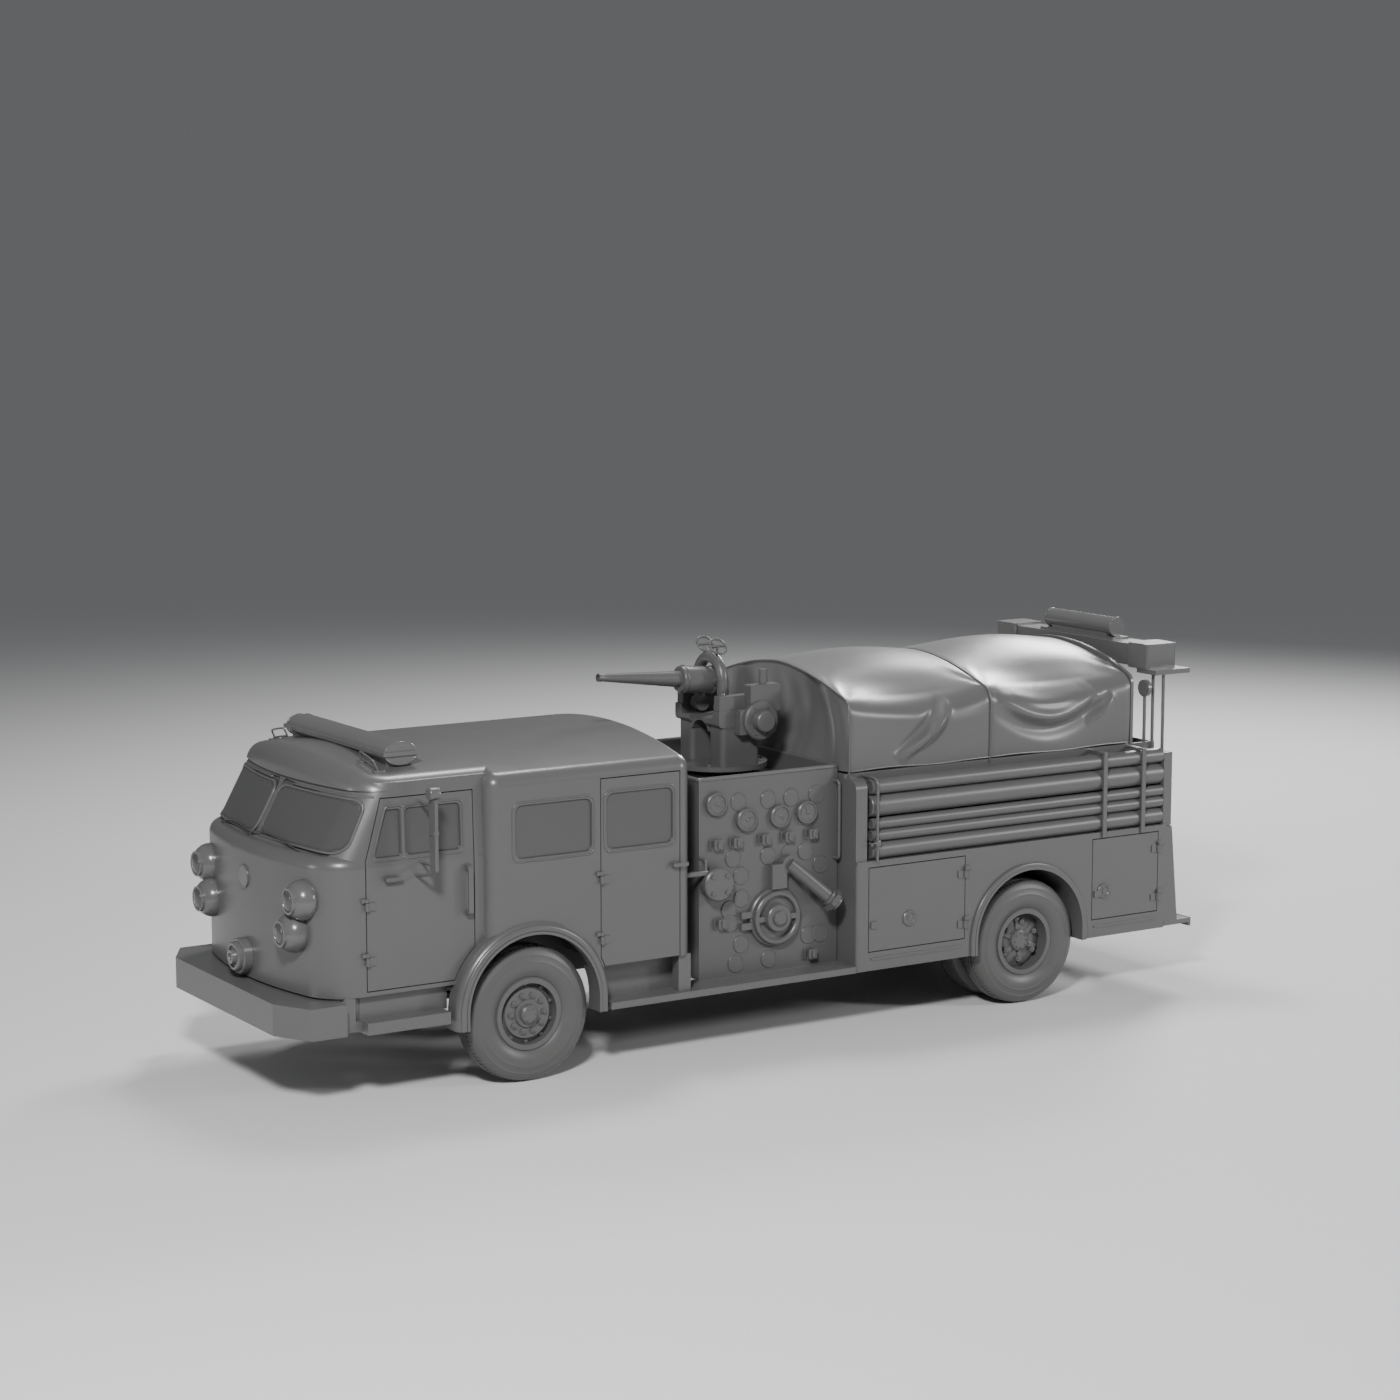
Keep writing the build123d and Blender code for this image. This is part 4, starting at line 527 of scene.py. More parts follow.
def makeCover():
    front, rear = cover["hoops"][0], cover["hoops"][-1]
    count = cover["bandPoints"]
    cloth, area = makeSheet("coverSheet", cover["along"], cover["across"],
                            lambda a, b: drapeCover((a + 1) / 2, b))
    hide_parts("hose_cover")
    hems = [drapeCover(np.linspace(0, 1, count), np.full(count, edge)) for edge in (-0.999, 0.999)]
    hem = finishPiece(makeTube(hems, cover["hemRadius"], smooth=False), "coverHem", "chassis", "canvas")
    for name, shape in coverEnds.items():
        cloth, area = makeSheet(name, 120, 60, lambda a, b: hangCurtain(a, (1 - b) / 2, *shape))
    # bands over the front and middle hoops, tied down at the bed's edge
    bands = []
    for hoop in cover["hoops"][:2]:
        line = drapeCover(np.full(count, (hoop - front) / (rear - front)), np.linspace(-0.995, 0.995, count))
        line[:, 2] += cover["bandOff"][1]
        line[:, 1] += cover["bandOff"][0] * np.sign(line[:, 1]) * ramp(np.abs(line[:, 1]), 0.8, 0.2)
        first, last = ((*line[end][:2], cover["bandFoot"]) for end in (0, -1))
        bands.append([first, *line, last])
    band = makeTube(bands, cover["bandRadius"], smooth=False)
    finishPiece(band, "coverBands", "chassis", "hose_rubber")
    print("cover draped")


# tyres: grooved tread and sidewall ribs on the solid's own outline

tyre = {"steps": 180, "axleX": {"front": 2.25, "rear": -2.475}, "axleZ": 0.527, "frontY": 1.03,
        "twinY": (1.05, 0.715), "crown": 0.527, "shoulder": (0.5215, 0.070),
        "grooves": (0.051, 0.017, -0.017, -0.051), "grooveWide": 0.010, "grooveDeep": 0.011,
        "notchBand": (0.510, 0.523), "notchOut": 0.058, "notchEvery": 2, "notchDeep": 0.0045,
        "ribs": ((0.405, 0.1344), (0.455, 0.1294)), "rib": 0.0010}


def tyreSection():      # (radius, offset) points from the inner bead across the tread to the outer bead
    wall = [(0.2506, 0.0), (0.2506, 0.100), (0.285, 0.100), (0.296, 0.1085), (0.312, 0.1175), (0.335, 0.127),
            (0.360, 0.1328), (0.388, 0.135)]
    for r, offset in tyre["ribs"]:
        wall += [(r + step, offset + rise * tyre["rib"])
                 for step, rise in ((-0.004, 0), (-0.002, 1), (0.002, 1), (0.004, 0))]
    wall += [(0.478, 0.1215), (0.491, 0.1150), (0.502, 0.1065), (0.511, 0.0960), (0.5175, 0.0840),
             tyre["shoulder"]]
    crown = []
    for groove in tyre["grooves"]:
        for edge, deep in ((1, 0), (0.72, 1), (-0.72, 1), (-1, 0)):
            offset = groove + edge * tyre["grooveWide"] / 2
            drop = 0.005 * (offset / tyre["shoulder"][1]) ** 2 + deep * tyre["grooveDeep"]
            crown.append((tyre["crown"] - drop, offset))
    return wall + crown + [(r, -offset) for r, offset in reversed(wall)]


def makeTyre():
    piece = turnPiece(tyreSection(), tyre["steps"])
    spacing = 2 * math.pi / tyre["steps"]
    low, high = tyre["notchBand"]

    def inNotch(center, normal):
        count = math.floor(math.atan2(center.y, center.x) / spacing + 0.001)
        edge = low < math.hypot(center.x, center.y) < high and abs(center.z) > tyre["notchOut"]
        return edge and count % tyre["notchEvery"] == 0

    pickFaces(piece, inNotch)
    bpy.ops.mesh.extrude_region_shrink_fatten(TRANSFORM_OT_shrink_fatten={"value": -tyre["notchDeep"]})
    setMode("OBJECT")
    return piece


def makeTyres():
    for side, (hand, turn) in sides.items():
        place = (tyre["axleX"]["front"], hand * tyre["frontY"], tyre["axleZ"])
        front = copyToMany(makeTyre(), [(place, turn)])
        finishPiece(front, f"frontTyre_{side}", f"front_wheel_{side}", "tyre_rubber", 30)
        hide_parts(f"front_tyre_{side}")
        twins = [((tyre["axleX"]["rear"], hand * y, tyre["axleZ"]), turn) for y in tyre["twinY"]]
        rear = copyToMany(makeTyre(), twins)
        finishPiece(rear, f"rearTyres_{side}", f"rear_wheel_{side}", "tyre_rubber", 30)
        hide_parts(f"rear_tyres_{side}")
    print("tyres turned")


# rear hub plates: a dished plate between hub and rim, with lobes that carry the clamp nuts

hubPlate = {"out": 0.190, "lobes": 6, "first": 0.6, "edge": 0.012,
            "lobe": ((0.086, -0.027, -0.010), (0.198, 0.027, 0.018)),
            "section": [(0.088, -0.012), (0.088, 0.004), (0.150, 0.005), (0.200, -0.002), (0.2395, -0.030),
                        (0.2395, -0.046), (0.194, -0.016), (0.150, -0.009), (0.088, -0.012)]}


def makeHubPlates():
    middle = sum(tyre["twinY"]) / 2 + hubPlate["out"]
    for side, (hand, turn) in sides.items():
        plate = turnPiece(hubPlate["section"], 72)
        lobe = makeBlock(*hubPlate["lobe"], hubPlate["edge"], 3)
        spots = ringAngles(hubPlate["lobes"], hubPlate["first"])
        lobes = copyToMany(lobe, [((0, 0, 0), (0, 0, angle)) for angle in spots])
        place = (tyre["axleX"]["rear"], hand * middle, tyre["axleZ"])
        whole = copyToMany(joinPieces([plate, lobes]), [(place, turn)])
        finishPiece(whole, f"rearHubPlate_{side}", f"rear_wheel_{side}", "wheel_paint", 30)
    print("rear hub plates set")


# wheel nuts and hub bolts: rings of (count, ring radius, bolt radius, height, distance out from the wheel's
# middle, first bolt's place as a share of the spacing)

wheelBolts = {
    "front": [(10, 0.143, 0.024, 0.016, 0.080, 0.0), (10, 0.224, 0.017, 0.014, 0.046, 0.5),
              (6, 0.052, 0.007, 0.006, 0.1315, 0.0)],
    "rear": [(6, 0.160, 0.024, 0.022, 0.2075, 0.6), (8, 0.062, 0.009, 0.008, 0.2332, 0.0)],
}


def makeWheelBolts():
    middle = {"front": tyre["frontY"], "rear": sum(tyre["twinY"]) / 2}
    for axle, rings in wheelBolts.items():
        x, z = tyre["axleX"][axle], tyre["axleZ"]
        for side, (hand, turn) in sides.items():
            groups = []
            for count, ring, radius, height, out, first in rings:
                places = [((x + ring * math.cos(angle), hand * (middle[axle] + out),
                            z + hand * ring * math.sin(angle)), turn) for angle in ringAngles(count, first)]
                groups.append(copyToMany(makeBolt(radius, height), places))
            nuts = joinPieces(groups)
            finishPiece(nuts, f"{axle}WheelNuts_{side}", f"{axle}_wheel_{side}", "plain_metal", 30)
    print("wheel nuts set")


# window seals and raised frames, drawn round the panes' own outlines

seal = {"radius": 0.0085, "lift": 0.001, "frameRadius": 0.0075, "frameGrow": 0.021, "frameLift": 0.0165,
        "sideBehind": 2.5}


def paneOutline(node, wanted, grow, lift, radius):
    twin = copyNode(node, 0.0001)
    pickFaces(twin, lambda center, normal: not wanted(center, normal))
    bpy.ops.mesh.delete(type="FACE")
    setMode("OBJECT")
    uses = {}
    for face in twin.data.polygons:
        for key in face.edge_keys:
            uses[key] = uses.get(key, 0) + 1
    inner = [uses.get(tuple(sorted(edge.vertices)), 0) != 1 for edge in twin.data.edges]
    bpy.context.tool_settings.mesh_select_mode = (False, True, False)
    twin.data.polygons.foreach_set("select", [False] * len(twin.data.polygons))
    twin.data.vertices.foreach_set("select", [False] * len(twin.data.vertices))
    twin.data.edges.foreach_set("select", inner)
    setMode("EDIT")
    bpy.ops.mesh.delete(type="EDGE")
    setMode("OBJECT")
    bpy.ops.object.convert(target="CURVE")
    curve = bpy.context.object.data
    for spline in curve.splines:
        points = [p.co.to_3d() for p in spline.points]
        low, high = (Vector([pick(p[i] for p in points) for i in range(3)]) for pick in (min, max))
        middle, half = (low + high) / 2, (high - low) / 2
        for point in spline.points:
            place = point.co.to_3d() - middle
            if grow:
                place.x *= (half.x + grow) / half.x
                place.z *= (half.z + grow) / half.z
            place.y += lift * (1 if middle.y > 0 else -1)
            point.co = (*(place + middle), 1)
    curve.bevel_depth, curve.bevel_resolution = radius, 3
    bpy.ops.object.convert(target="MESH")
    return bpy.context.object


def facesOut(center, normal):
    return normal.y * (1 if center.y > 0 else -1) > 0.7


def makeSeals():
    panes = {f"{door}_door_glass_{side}": facesOut for door in ("front", "crew") for side in sides}
    panes["cab_glass"] = lambda center, normal: center.x < seal["sideBehind"] and facesOut(center, normal)
    for node, wanted in panes.items():
        rubber = paneOutline(node, wanted, 0, seal["lift"], seal["radius"])
        finishPiece(rubber, f"seal_{node}", bodyOfNode[node], "hose_rubber", 60, sealRubber)
        rim = paneOutline(node, wanted, seal["frameGrow"], seal["frameLift"], seal["frameRadius"])
        finishPiece(rim, f"frame_{node}", bodyOfNode[node], "body_paint", 60)
    print("window seals run")


# lamp glasses: domed, with a bead round the edge

lampGlass = {"head": [(4.084, 0.84, 1.548), (4.114, 0.748, 1.292)], "radius": 0.0795, "dome": 0.020,
             "tail": [(-4.044, 1.11, 1.56), (-4.044, 1.11, 1.72), (-4.044, 1.11, 1.88)], "tailRadius": 0.041,
             "tailDome": 0.012}


def domeProfile(radius, dome):
    angles = [math.radians(degrees) for degrees in (18, 36, 54, 72, 90)]
    arc = [(radius * math.cos(a), dome * math.sin(a)) for a in angles]
    bead = [(radius, -0.012), (radius, -0.002), (radius * 0.965, 0.0)]
    return bead + [(r * 0.955, h + 0.001) for r, h in arc]


def bothHands(places, turn):
    return [((x, hand * y, z), turn) for x, y, z in places for hand in (1, -1)]


def makeLampGlasses():
    lens = turnPiece(domeProfile(lampGlass["radius"], lampGlass["dome"]), 48)
    heads = copyToMany(lens, bothHands(lampGlass["head"], lookAhead))
    finishPiece(heads, "headlampGlass", "chassis", "window_glass", 40)
    lens = turnPiece(domeProfile(lampGlass["tailRadius"], lampGlass["tailDome"]), 40)
    tails = copyToMany(lens, bothHands(lampGlass["tail"], lookBack))
    finishPiece(tails, "tailLampGlass", "chassis", "lamp_shell", 40)
    print("lamp glasses set")


# windshield: two panes with rounded corners on the nose's curve, a bead round each and along the roof seam

shield = {"inner": 0.034, "outer": (1.060, 1.042), "low": (1.911, 1.897), "high": 2.277, "corner": 0.085,
          "off": 0.003, "glass": 0.005, "bead": 0.0105, "gasket": 0.006, "gasketShare": (0.972, 0.93),
          "belt": 1.80, "post": (1.98, 2.22), "reach": 1.09, "seamZ": 2.295, "seamHalf": 1.055,
          "seamOff": (0.014, 0.002), "columns": 70, "rows": 26}


def castBack(node, y, z):      # how far forward a node reaches at that place
    return castOn(node, (9, y, z), (-1, 0, 0)).x


def readNose():      # set-back of the nose from its middle, and the lean of the windshield
    y = np.linspace(0, shield["reach"], 50)
    face = np.array([castBack("cab_nose", each, shield["belt"]) for each in y])
    low, high = shield["post"]
    lowX, highX = castBack("cab_nose", 0, low), castBack("cab_nose", 0, high)
    return y, face[0] - face, lowX, (highX - lowX) / (high - low)


noseY, noseSetBack, postX, postLean = readNose()


def onNose(y, z, off):      # places on the windshield's outer face, off metres ahead of it
    return postX + postLean * (z - shield["post"][0]) - np.interp(np.abs(y), noseY, noseSetBack) + off


def roundOff(s, t, half, corner):      # a square's points drawn into a rectangle with rounded corners
    share = np.maximum(np.maximum(np.abs(s), np.abs(t)), 1e-9)
    edge = np.stack([s, t]) / share * np.array(half)[:, None]
    core = np.clip(edge, -(np.array(half) - corner)[:, None], (np.array(half) - corner)[:, None])
    reach = np.hypot(*(edge - core))
    return (core + (edge - core) * corner / np.maximum(reach, corner)) * share


def paneAt(s, t, hand, off):
    inner, (outerLow, outerHigh) = shield["inner"], shield["outer"]
    (lowIn, lowOut), high = shield["low"], shield["high"]
    wide, tall = (outerLow - inner) / 2, (high - lowIn) / 2
    across, up = roundOff(s, t, (wide, tall), shield["corner"])
    across, up = (across / wide + 1) / 2, (up / tall + 1) / 2
    y = inner + across * (outerLow + up * (outerHigh - outerLow) - inner)
    low = lowIn + across ** 2 * (lowOut - lowIn)
    z = low + up * (high - low)
    return np.stack([onNose(y, z, off), hand * y, z], axis=1)


def makeShield():
    walk = np.linspace(-1, 1, 60)[:-1]
    one = np.ones_like(walk)
    aroundS, aroundT = np.concatenate([walk, one, -walk, -one]), np.concatenate([-one, walk, one, -walk])
    off, (shareS, shareT) = shield["off"], shield["gasketShare"]
    beads, gaskets = [], []
    for side, (hand, turn) in sides.items():
        pane = makeGrid(shield["columns"], shield["rows"])
        flat = readPoints(pane)
        placePoints(pane, paneAt(flat[:, 0], flat[:, 1], hand, off))
        pickFaces(pane, lambda center, normal: True)
        if sum(face.normal.x for face in pane.data.polygons) < 0:
            bpy.ops.mesh.flip_normals()
        setMode("OBJECT")
        applyModifier(pane, "SOLIDIFY", thickness=shield["glass"], offset=1)
        finishPiece(pane, f"windshieldPane_{side}", "chassis", "window_glass", 40)
        edge = paneAt(aroundS, aroundT, hand, off)
        beads.append(makeTube([edge], shield["bead"], smooth=False, closed=True))
        edge = paneAt(aroundS * shareS, aroundT * shareT, hand, off + shield["glass"])
        gaskets.append(makeTube([edge], shield["gasket"], smooth=False, closed=True))
    z, (above, ahead) = shield["seamZ"], shield["seamOff"]
    seam = [(castBack("cab_roof", y, z + above) + ahead, y, z)
            for y in np.linspace(-shield["seamHalf"], shield["seamHalf"], 60)]
    beads.append(makeTube([seam], shield["bead"], smooth=False))
    finishPiece(joinPieces(beads), "windshieldBeads", "chassis", "body_paint", 60)
    finishPiece(joinPieces(gaskets), "windshieldGaskets", "chassis", "hose_rubber", 60, sealRubber)
    print("windshield glazed")


# windshield wipers: pivot boss, sprung arm and blade, lying on the cowl

wiper = {"off": 0.026, "foot": 1.883, "arm": 0.006, "blade": 0.0055, "bladeDrop": 0.016, "bladeOff": 0.55,
         "bossTilt": 62.0, "bossSunk": 0.012,
         "boss": [(0, 0.0), (0.022, 0.0), (0.022, 0.016), (0.014, 0.026), (0, 0.028)],
         "sweeps": [((-0.74, 1.868), (-0.60, 1.915), (-0.34, 1.935), (-0.09, 1.905)),
                    ((-0.05, 1.905), (0.10, 1.935), (0.40, 1.928), (0.69, 1.868))]}


def onShield(y, z, off):
    return (onNose(y, max(z, wiper["foot"]), off), y, z + off * 0.4)


def makeWipers():
    parts = []
    for sweep in wiper["sweeps"]:
        parts.append(makeTube([[onShield(y, z, wiper["off"]) for y, z in sweep]], wiper["arm"]))
        blade = [onShield(y, z - wiper["bladeDrop"], wiper["off"] * wiper["bladeOff"]) for y, z in sweep[1:]]
        parts.append(makeTube([blade], wiper["blade"]))
        boss = turnPiece(wiper["boss"], 20)
        boss.location = onShield(*sweep[0], -wiper["bossSunk"])
        boss.rotation_euler = (0, math.radians(wiper["bossTilt"]), 0)
        parts.append(boss)
    finishPiece(joinPieces(parts), "wipers", "chassis", "hose_rubber", 40, sealRubber)
    print("wipers laid")


# pump panels: gauge screws and needles, plate rims and rivets, handle grips

panel = {
    "faceY": 0.950, "gauges": [(0.460, 1.943), (0.175, 1.792), (-0.143, 1.791), (-0.400, 1.797)],
    "needles": (-125, -60, -140, 20), "gaugeFace": 0.031, "screwRing": 0.058, "screws": 8,
    "plates": [(0.240, 1.940), (-0.040, 1.935), (-0.260, 1.930), (-0.500, 1.935), (0.290, 1.490),
               (-0.040, 1.480), (-0.400, 1.480), (0.215, 1.345), (-0.545, 1.360), (0.210, 1.160),
               (0.330, 1.080), (0.320, 0.970), (0.215, 0.790), (0.265, 0.640), (-0.050, 0.640),
               (-0.430, 0.790), (-0.545, 0.790)],
    "leftOnly": [(0.215, 1.345)], "plateOut": 0.005, "rivets": 0.052, "rivetSize": 0.75,
    "handles": [(0.452, 1.620), (0.269, 1.620), (0.0, 1.620), (-0.220, 1.620), (-0.451, 1.620),
                (0.413, 0.980), (-0.451, 0.635)], "handleOut": 0.046,
    "needle": ((-0.003, 0.0, -0.012), (0.003, 0.003, 0.042), 0.0012, 1),
    "grip": ((-0.010, -0.004, -0.031), (0.010, 0.013, 0.031), 0.005, 3),
    "screw": [(0.0068, 0.0), (0.0062, 0.003), (0.003, 0.005), (0, 0.0055)],
    "pin": [(0.012, 0.0), (0.012, 0.005), (0.008, 0.009), (0, 0.010)],
    "rim": [(0.0725, -0.001), (0.0725, 0.0075), (0.0710, 0.009), (0.0675, 0.009), (0.0655, 0.0065),
            (0.0650, 0.004)],
}


def makePanelTrim():
    ring, size = panel["screwRing"], (panel["rivetSize"],) * 3
    for side, (hand, turn) in sides.items():
        plates = [place for place in panel["plates"] if hand > 0 or place not in panel["leftOnly"]]

        def outBy(out):
            return hand * (panel["faceY"] + out)

        dial = outBy(panel["gaugeFace"])
        screws = [((x + ring * math.cos(a), dial, z + ring * math.sin(a)), turn)
                  for x, z in panel["gauges"] for a in ringAngles(panel["screws"], 0.5)]
        rivets = [((x + offset, outBy(panel["plateOut"]), z), turn, size)
                  for x, z in plates for offset in (-panel["rivets"], panel["rivets"])]
        groups = [copyToMany(turnPiece(panel["screw"], 10), screws + rivets)]
        pins = [((x, dial, z), turn) for x, z in panel["gauges"]]
        groups.append(copyToMany(turnPiece(panel["pin"], 16), pins))
        needle = makeBlock(*panel["needle"])
        thick = panel["needle"][1][1]      # towards +Y on both sides
        over = outBy(panel["gaugeFace"] + (thick if hand > 0 else 2 * thick))
        groups.append(copyToMany(needle, [((x, over, z), (0, math.radians(swing), 0))
                                          for (x, z), swing in zip(panel["gauges"], panel["needles"])]))
        groups.append(copyToMany(turnPiece(panel["rim"], 40), [((x, outBy(0), z), turn) for x, z in plates]))
        grip = makeBlock(*panel["grip"])
        gripY, about = outBy(panel["handleOut"]), (0, 0, 0 if hand > 0 else math.pi)
        groups.append(copyToMany(grip, [((x, gripY, z), about) for x, z in panel["handles"]]))
        finishPiece(joinPieces(groups), f"panelTrim_{side}", "chassis", "plain_metal", 40)
    print("panel trim set")


# suction hoses: end couplings, the stowage post ahead of them and its latch

hose = {"rolls": [(1.986, 0.062), (1.827, 0.094), (1.684, 0.046), (1.588, 0.048), (1.464, 0.073)],
        "outY": 1.22, "frontX": -0.90, "postX": -0.905, "postR": 0.0125, "postOut": 0.018, "latchR": 0.007,
        "cap": [(0.97, -0.004), (0.97, 0.016), (0.9, 0.024), (0.72, 0.024), (0.66, 0.014), (0, 0.014)],
        "postTop": [(1.032, 2.058), (1.12, 2.062), (1.20, 2.058)],
        "postZ": (2.025, 1.93, 1.80, 1.60, 1.40, 1.385),
        "latchBlock": ((-0.024, -0.016, 1.515), (0.024, 0.02, 1.560), 0.006),      # low, high, edge
        "latch": [(0.01, 0.012, 1.54), (0.05, 0.016, 1.545), (0.075, 0.010, 1.53)]}


def makeHoseEnds():
    groups = []
    for z, radius in hose["rolls"]:
        cap = turnPiece([(radius * share, out) for share, out in hose["cap"]], 36)
        groups.append(copyToMany(cap, bothHands([(hose["frontX"], hose["outY"] - radius, z)], lookAhead)))
    finishPiece(joinPieces(groups), "hoseCouplings", "chassis", "cast_metal", 35)
    posts = []
    x, y = hose["postX"], hose["outY"] + hose["postOut"]
    (x0, y0, z0), (x1, y1, z1), edge = hose["latchBlock"]
    for hand in (1, -1):
        top = [(x, hand * out, z) for out, z in hose["postTop"]]
        posts.append(makeTube([top + [(x, hand * y, z) for z in hose["postZ"]]], hose["postR"]))
        posts.append(makeHandedBlock(hand, (x + x0, y + y0, z0), (x + x1, y + y1, z1), edge))
        arm = [(x + ahead, hand * (y + out), z) for ahead, out, z in hose["latch"]]
        posts.append(makeTube([arm], hose["latchR"]))
    finishPiece(joinPieces(posts), "hosePosts", "chassis", "plain_metal", 40)
    print("hose ends set")


# padded seats: a remeshed block swollen by cloth pressure, then sewn channels

seat = {"front": {"base": ((2.560, 0.615, 1.225), (2.875, 1.005, 1.335)),
                  "back": ((2.440, 0.615, 1.365), (2.540, 1.005, 1.960))},
        "bench": {"base": ((0.990, -0.985, 1.165), (1.280, 0.985, 1.285)),
                  "back": ((0.880, -0.985, 1.310), (0.965, 0.985, 1.815))},
        "voxel": {"front": 0.010, "bench": 0.017}, "edge": 0.024, "pressure": 4.0, "steps": 20, "cap": 0.012,
        "channel": 0.085, "channelWide": 0.009, "channelDeep": 0.007, "border": 0.03,
        "plinths": [((2.432, 0.605, 1.181), (2.885, 1.015, 1.222), 0.008),      # low, high, edge
                    ((2.432, 0.605, 1.181), (2.445, 1.015, 1.95), 0.005)],
        "benchPlinth": ((0.875, -0.995, 0.901), (1.29, 0.995, 1.155), 0.012)}


def swellPad(name, low, high, voxel):
    pad = makeBlock(low, high, seat["edge"], 3)
    applyModifier(pad, "REMESH", mode="VOXEL", voxel_size=voxel)
    before = readPoints(pad)
    air = pad.modifiers.new("air", "CLOTH")
    air.settings.use_pressure = True
    air.settings.uniform_pressure_force = seat["pressure"]
    air.settings.effector_weights.gravity = 0
    air.settings.quality = 4
    air.point_cache.frame_start, air.point_cache.frame_end = 1, seat["steps"]
    for step in range(1, seat["steps"] + 1):
        bpy.context.scene.frame_set(step)
    bpy.ops.object.modifier_apply(modifier=air.name)
    bpy.context.scene.frame_set(1)
    move = readPoints(pad) - before
    size = np.linalg.norm(move, axis=1, keepdims=True)
    points = before + move * np.minimum(1, seat["cap"] / np.maximum(size, 1e-9))
    y = points[:, 1]
    line = (y - (low[1] + high[1]) / 2) / seat["channel"]
    stitch = hump((line - np.round(line)) * seat["channel"], 0, seat["channelWide"])
    inside = np.clip((high[1] - seat["border"] - y) / 0.01, 0, 1) * ramp(y, low[1] + seat["border"], 0.01)
    placePoints(pad, points - readPoints(pad, "normal") * (seat["channelDeep"] * stitch * inside)[:, None])
    pickOnly(pad)
    applyModifier(pad, "SUBSURF", levels=1, render_levels=1)
    finishPiece(pad, name, "chassis", "seat_cover", 60)
    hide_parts("seats")


def makeSeats():
    for part, (low, high) in seat["front"].items():
        swellPad(f"seatPad_{part}_left", low, high, seat["voxel"]["front"])
        mirrored = ((low[0], -high[1], low[2]), (high[0], -low[1], high[2]))
        swellPad(f"seatPad_{part}_right", *mirrored, seat["voxel"]["front"])
    for part, (low, high) in seat["bench"].items():
        swellPad(f"benchPad_{part}", low, high, seat["voxel"]["bench"])
    plinths = [makeHandedBlock(hand, *plinth) for hand in (1, -1) for plinth in seat["plinths"]]
    plinths.append(makeBlock(*seat["benchPlinth"]))
    base = finishPiece(joinPieces(plinths), "seatPlinths", "chassis", "dash_plastic", 40)
    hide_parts("seats")
    print("seats padded")


# front wheel arches: a half-round roll along the outer face of each lip

archRoll = {"middle": (2.25, 0.600), "foot": 0.492, "radius": 0.607, "half": 0.026, "faceY": 1.2400,
            "flat": 0.66}


def makeArchRolls():
    x, z = archRoll["middle"]
    reach = archRoll["radius"]
    bow = [(x + reach * math.cos(a), 0, z + reach * math.sin(a)) for a in np.linspace(0, math.pi, 65)]
    path = [(x + reach, 0, archRoll["foot"]), *bow, (x - reach, 0, archRoll["foot"])]
    roll = makeTube([path], archRoll["half"], 6, smooth=False)
    rolls = [((0, hand * archRoll["faceY"], 0), (0, 0, 0), (1, archRoll["flat"], 1)) for hand in (1, -1)]
    finishPiece(copyToMany(roll, rolls), "archRolls", "chassis", "body_paint", 40)
    print("arch rolls laid")


# rails and brackets: coaming bead, grab handles at the pump panels, guards ahead of the light bar, riser ends

rails = {"coaming": (-0.709, 0.604, 0.940, 2.142), "coamingR": 0.018, "coamingBend": 0.05,
         "grabX": 0.598, "grabY": (0.948, 1.032), "grabZ": (1.335, 1.520), "grabR": 0.0125,
         "grabBend": (0.02, 0.005, 0.03), "plateX": (-0.016, 0.185), "plateY": (-0.014, 0.016),
         "plateZ": (1.402, 1.440), "plateEdge": 0.006, "guardX": 3.37, "guardY": (0.66, 0.90),
         "guardUp": 0.085, "guardLean": 0.035, "guardIn": 0.012, "guardR": 0.0075,
         "guardRail": (0.008, 0.018, 0.008),      # ahead of the feet, above them, bow in the middle
         "guardFoot": ((0.045, 0.035), (0.015, 0.010), 0.004),      # half sizes, under and over roof, edge
         "riserX": ((2.903, 2.955), (3.612, 3.690)),
         "riserY": (1.040, 1.057), "riserZ": (0.640, 0.840)}


def makeCoaming():
    x0, x1, y, z = rails["coaming"]
    turn = rails["coamingBend"]
    alongX, alongY = (x0 + turn, 0, x1 - turn, x1), (-y + turn, 0, y - turn, y)
    ring = [(a, -y, z) for a in alongX] + [(x1, b, z) for b in alongY]
    ring += [(a, y, z) for a in reversed(alongX[:3])] + [(x0, y, z)]
    ring += [(x0, b, z) for b in reversed(alongY[:3])] + [(x0, -y, z)]
    bead = makeTube([ring], rails["coamingR"], closed=True)
    finishPiece(bead, "coamingBead", "chassis", "body_paint", 60)


def makeGrab(hand):
    x, (near, out), (low, high) = rails["grabX"], rails["grabY"], rails["grabZ"]
    back, soft, straight = rails["grabBend"]
    route = [(near, high), (out - back, high), (out, high - soft), (out, high - straight),
             (out, (low + high) / 2), (out, low + straight), (out, low + soft), (out - back, low),
             (near, low)]
    tube = makeTube([[(x, hand * y, z) for y, z in route]], rails["grabR"])
    (x0, x1), (y0, y1), (foot, top) = rails["plateX"], rails["plateY"], rails["plateZ"]
    plate = makeHandedBlock(hand, (x + x0, out + y0, foot), (x + x1, out + y1, top), rails["plateEdge"])
    return [tube, plate]


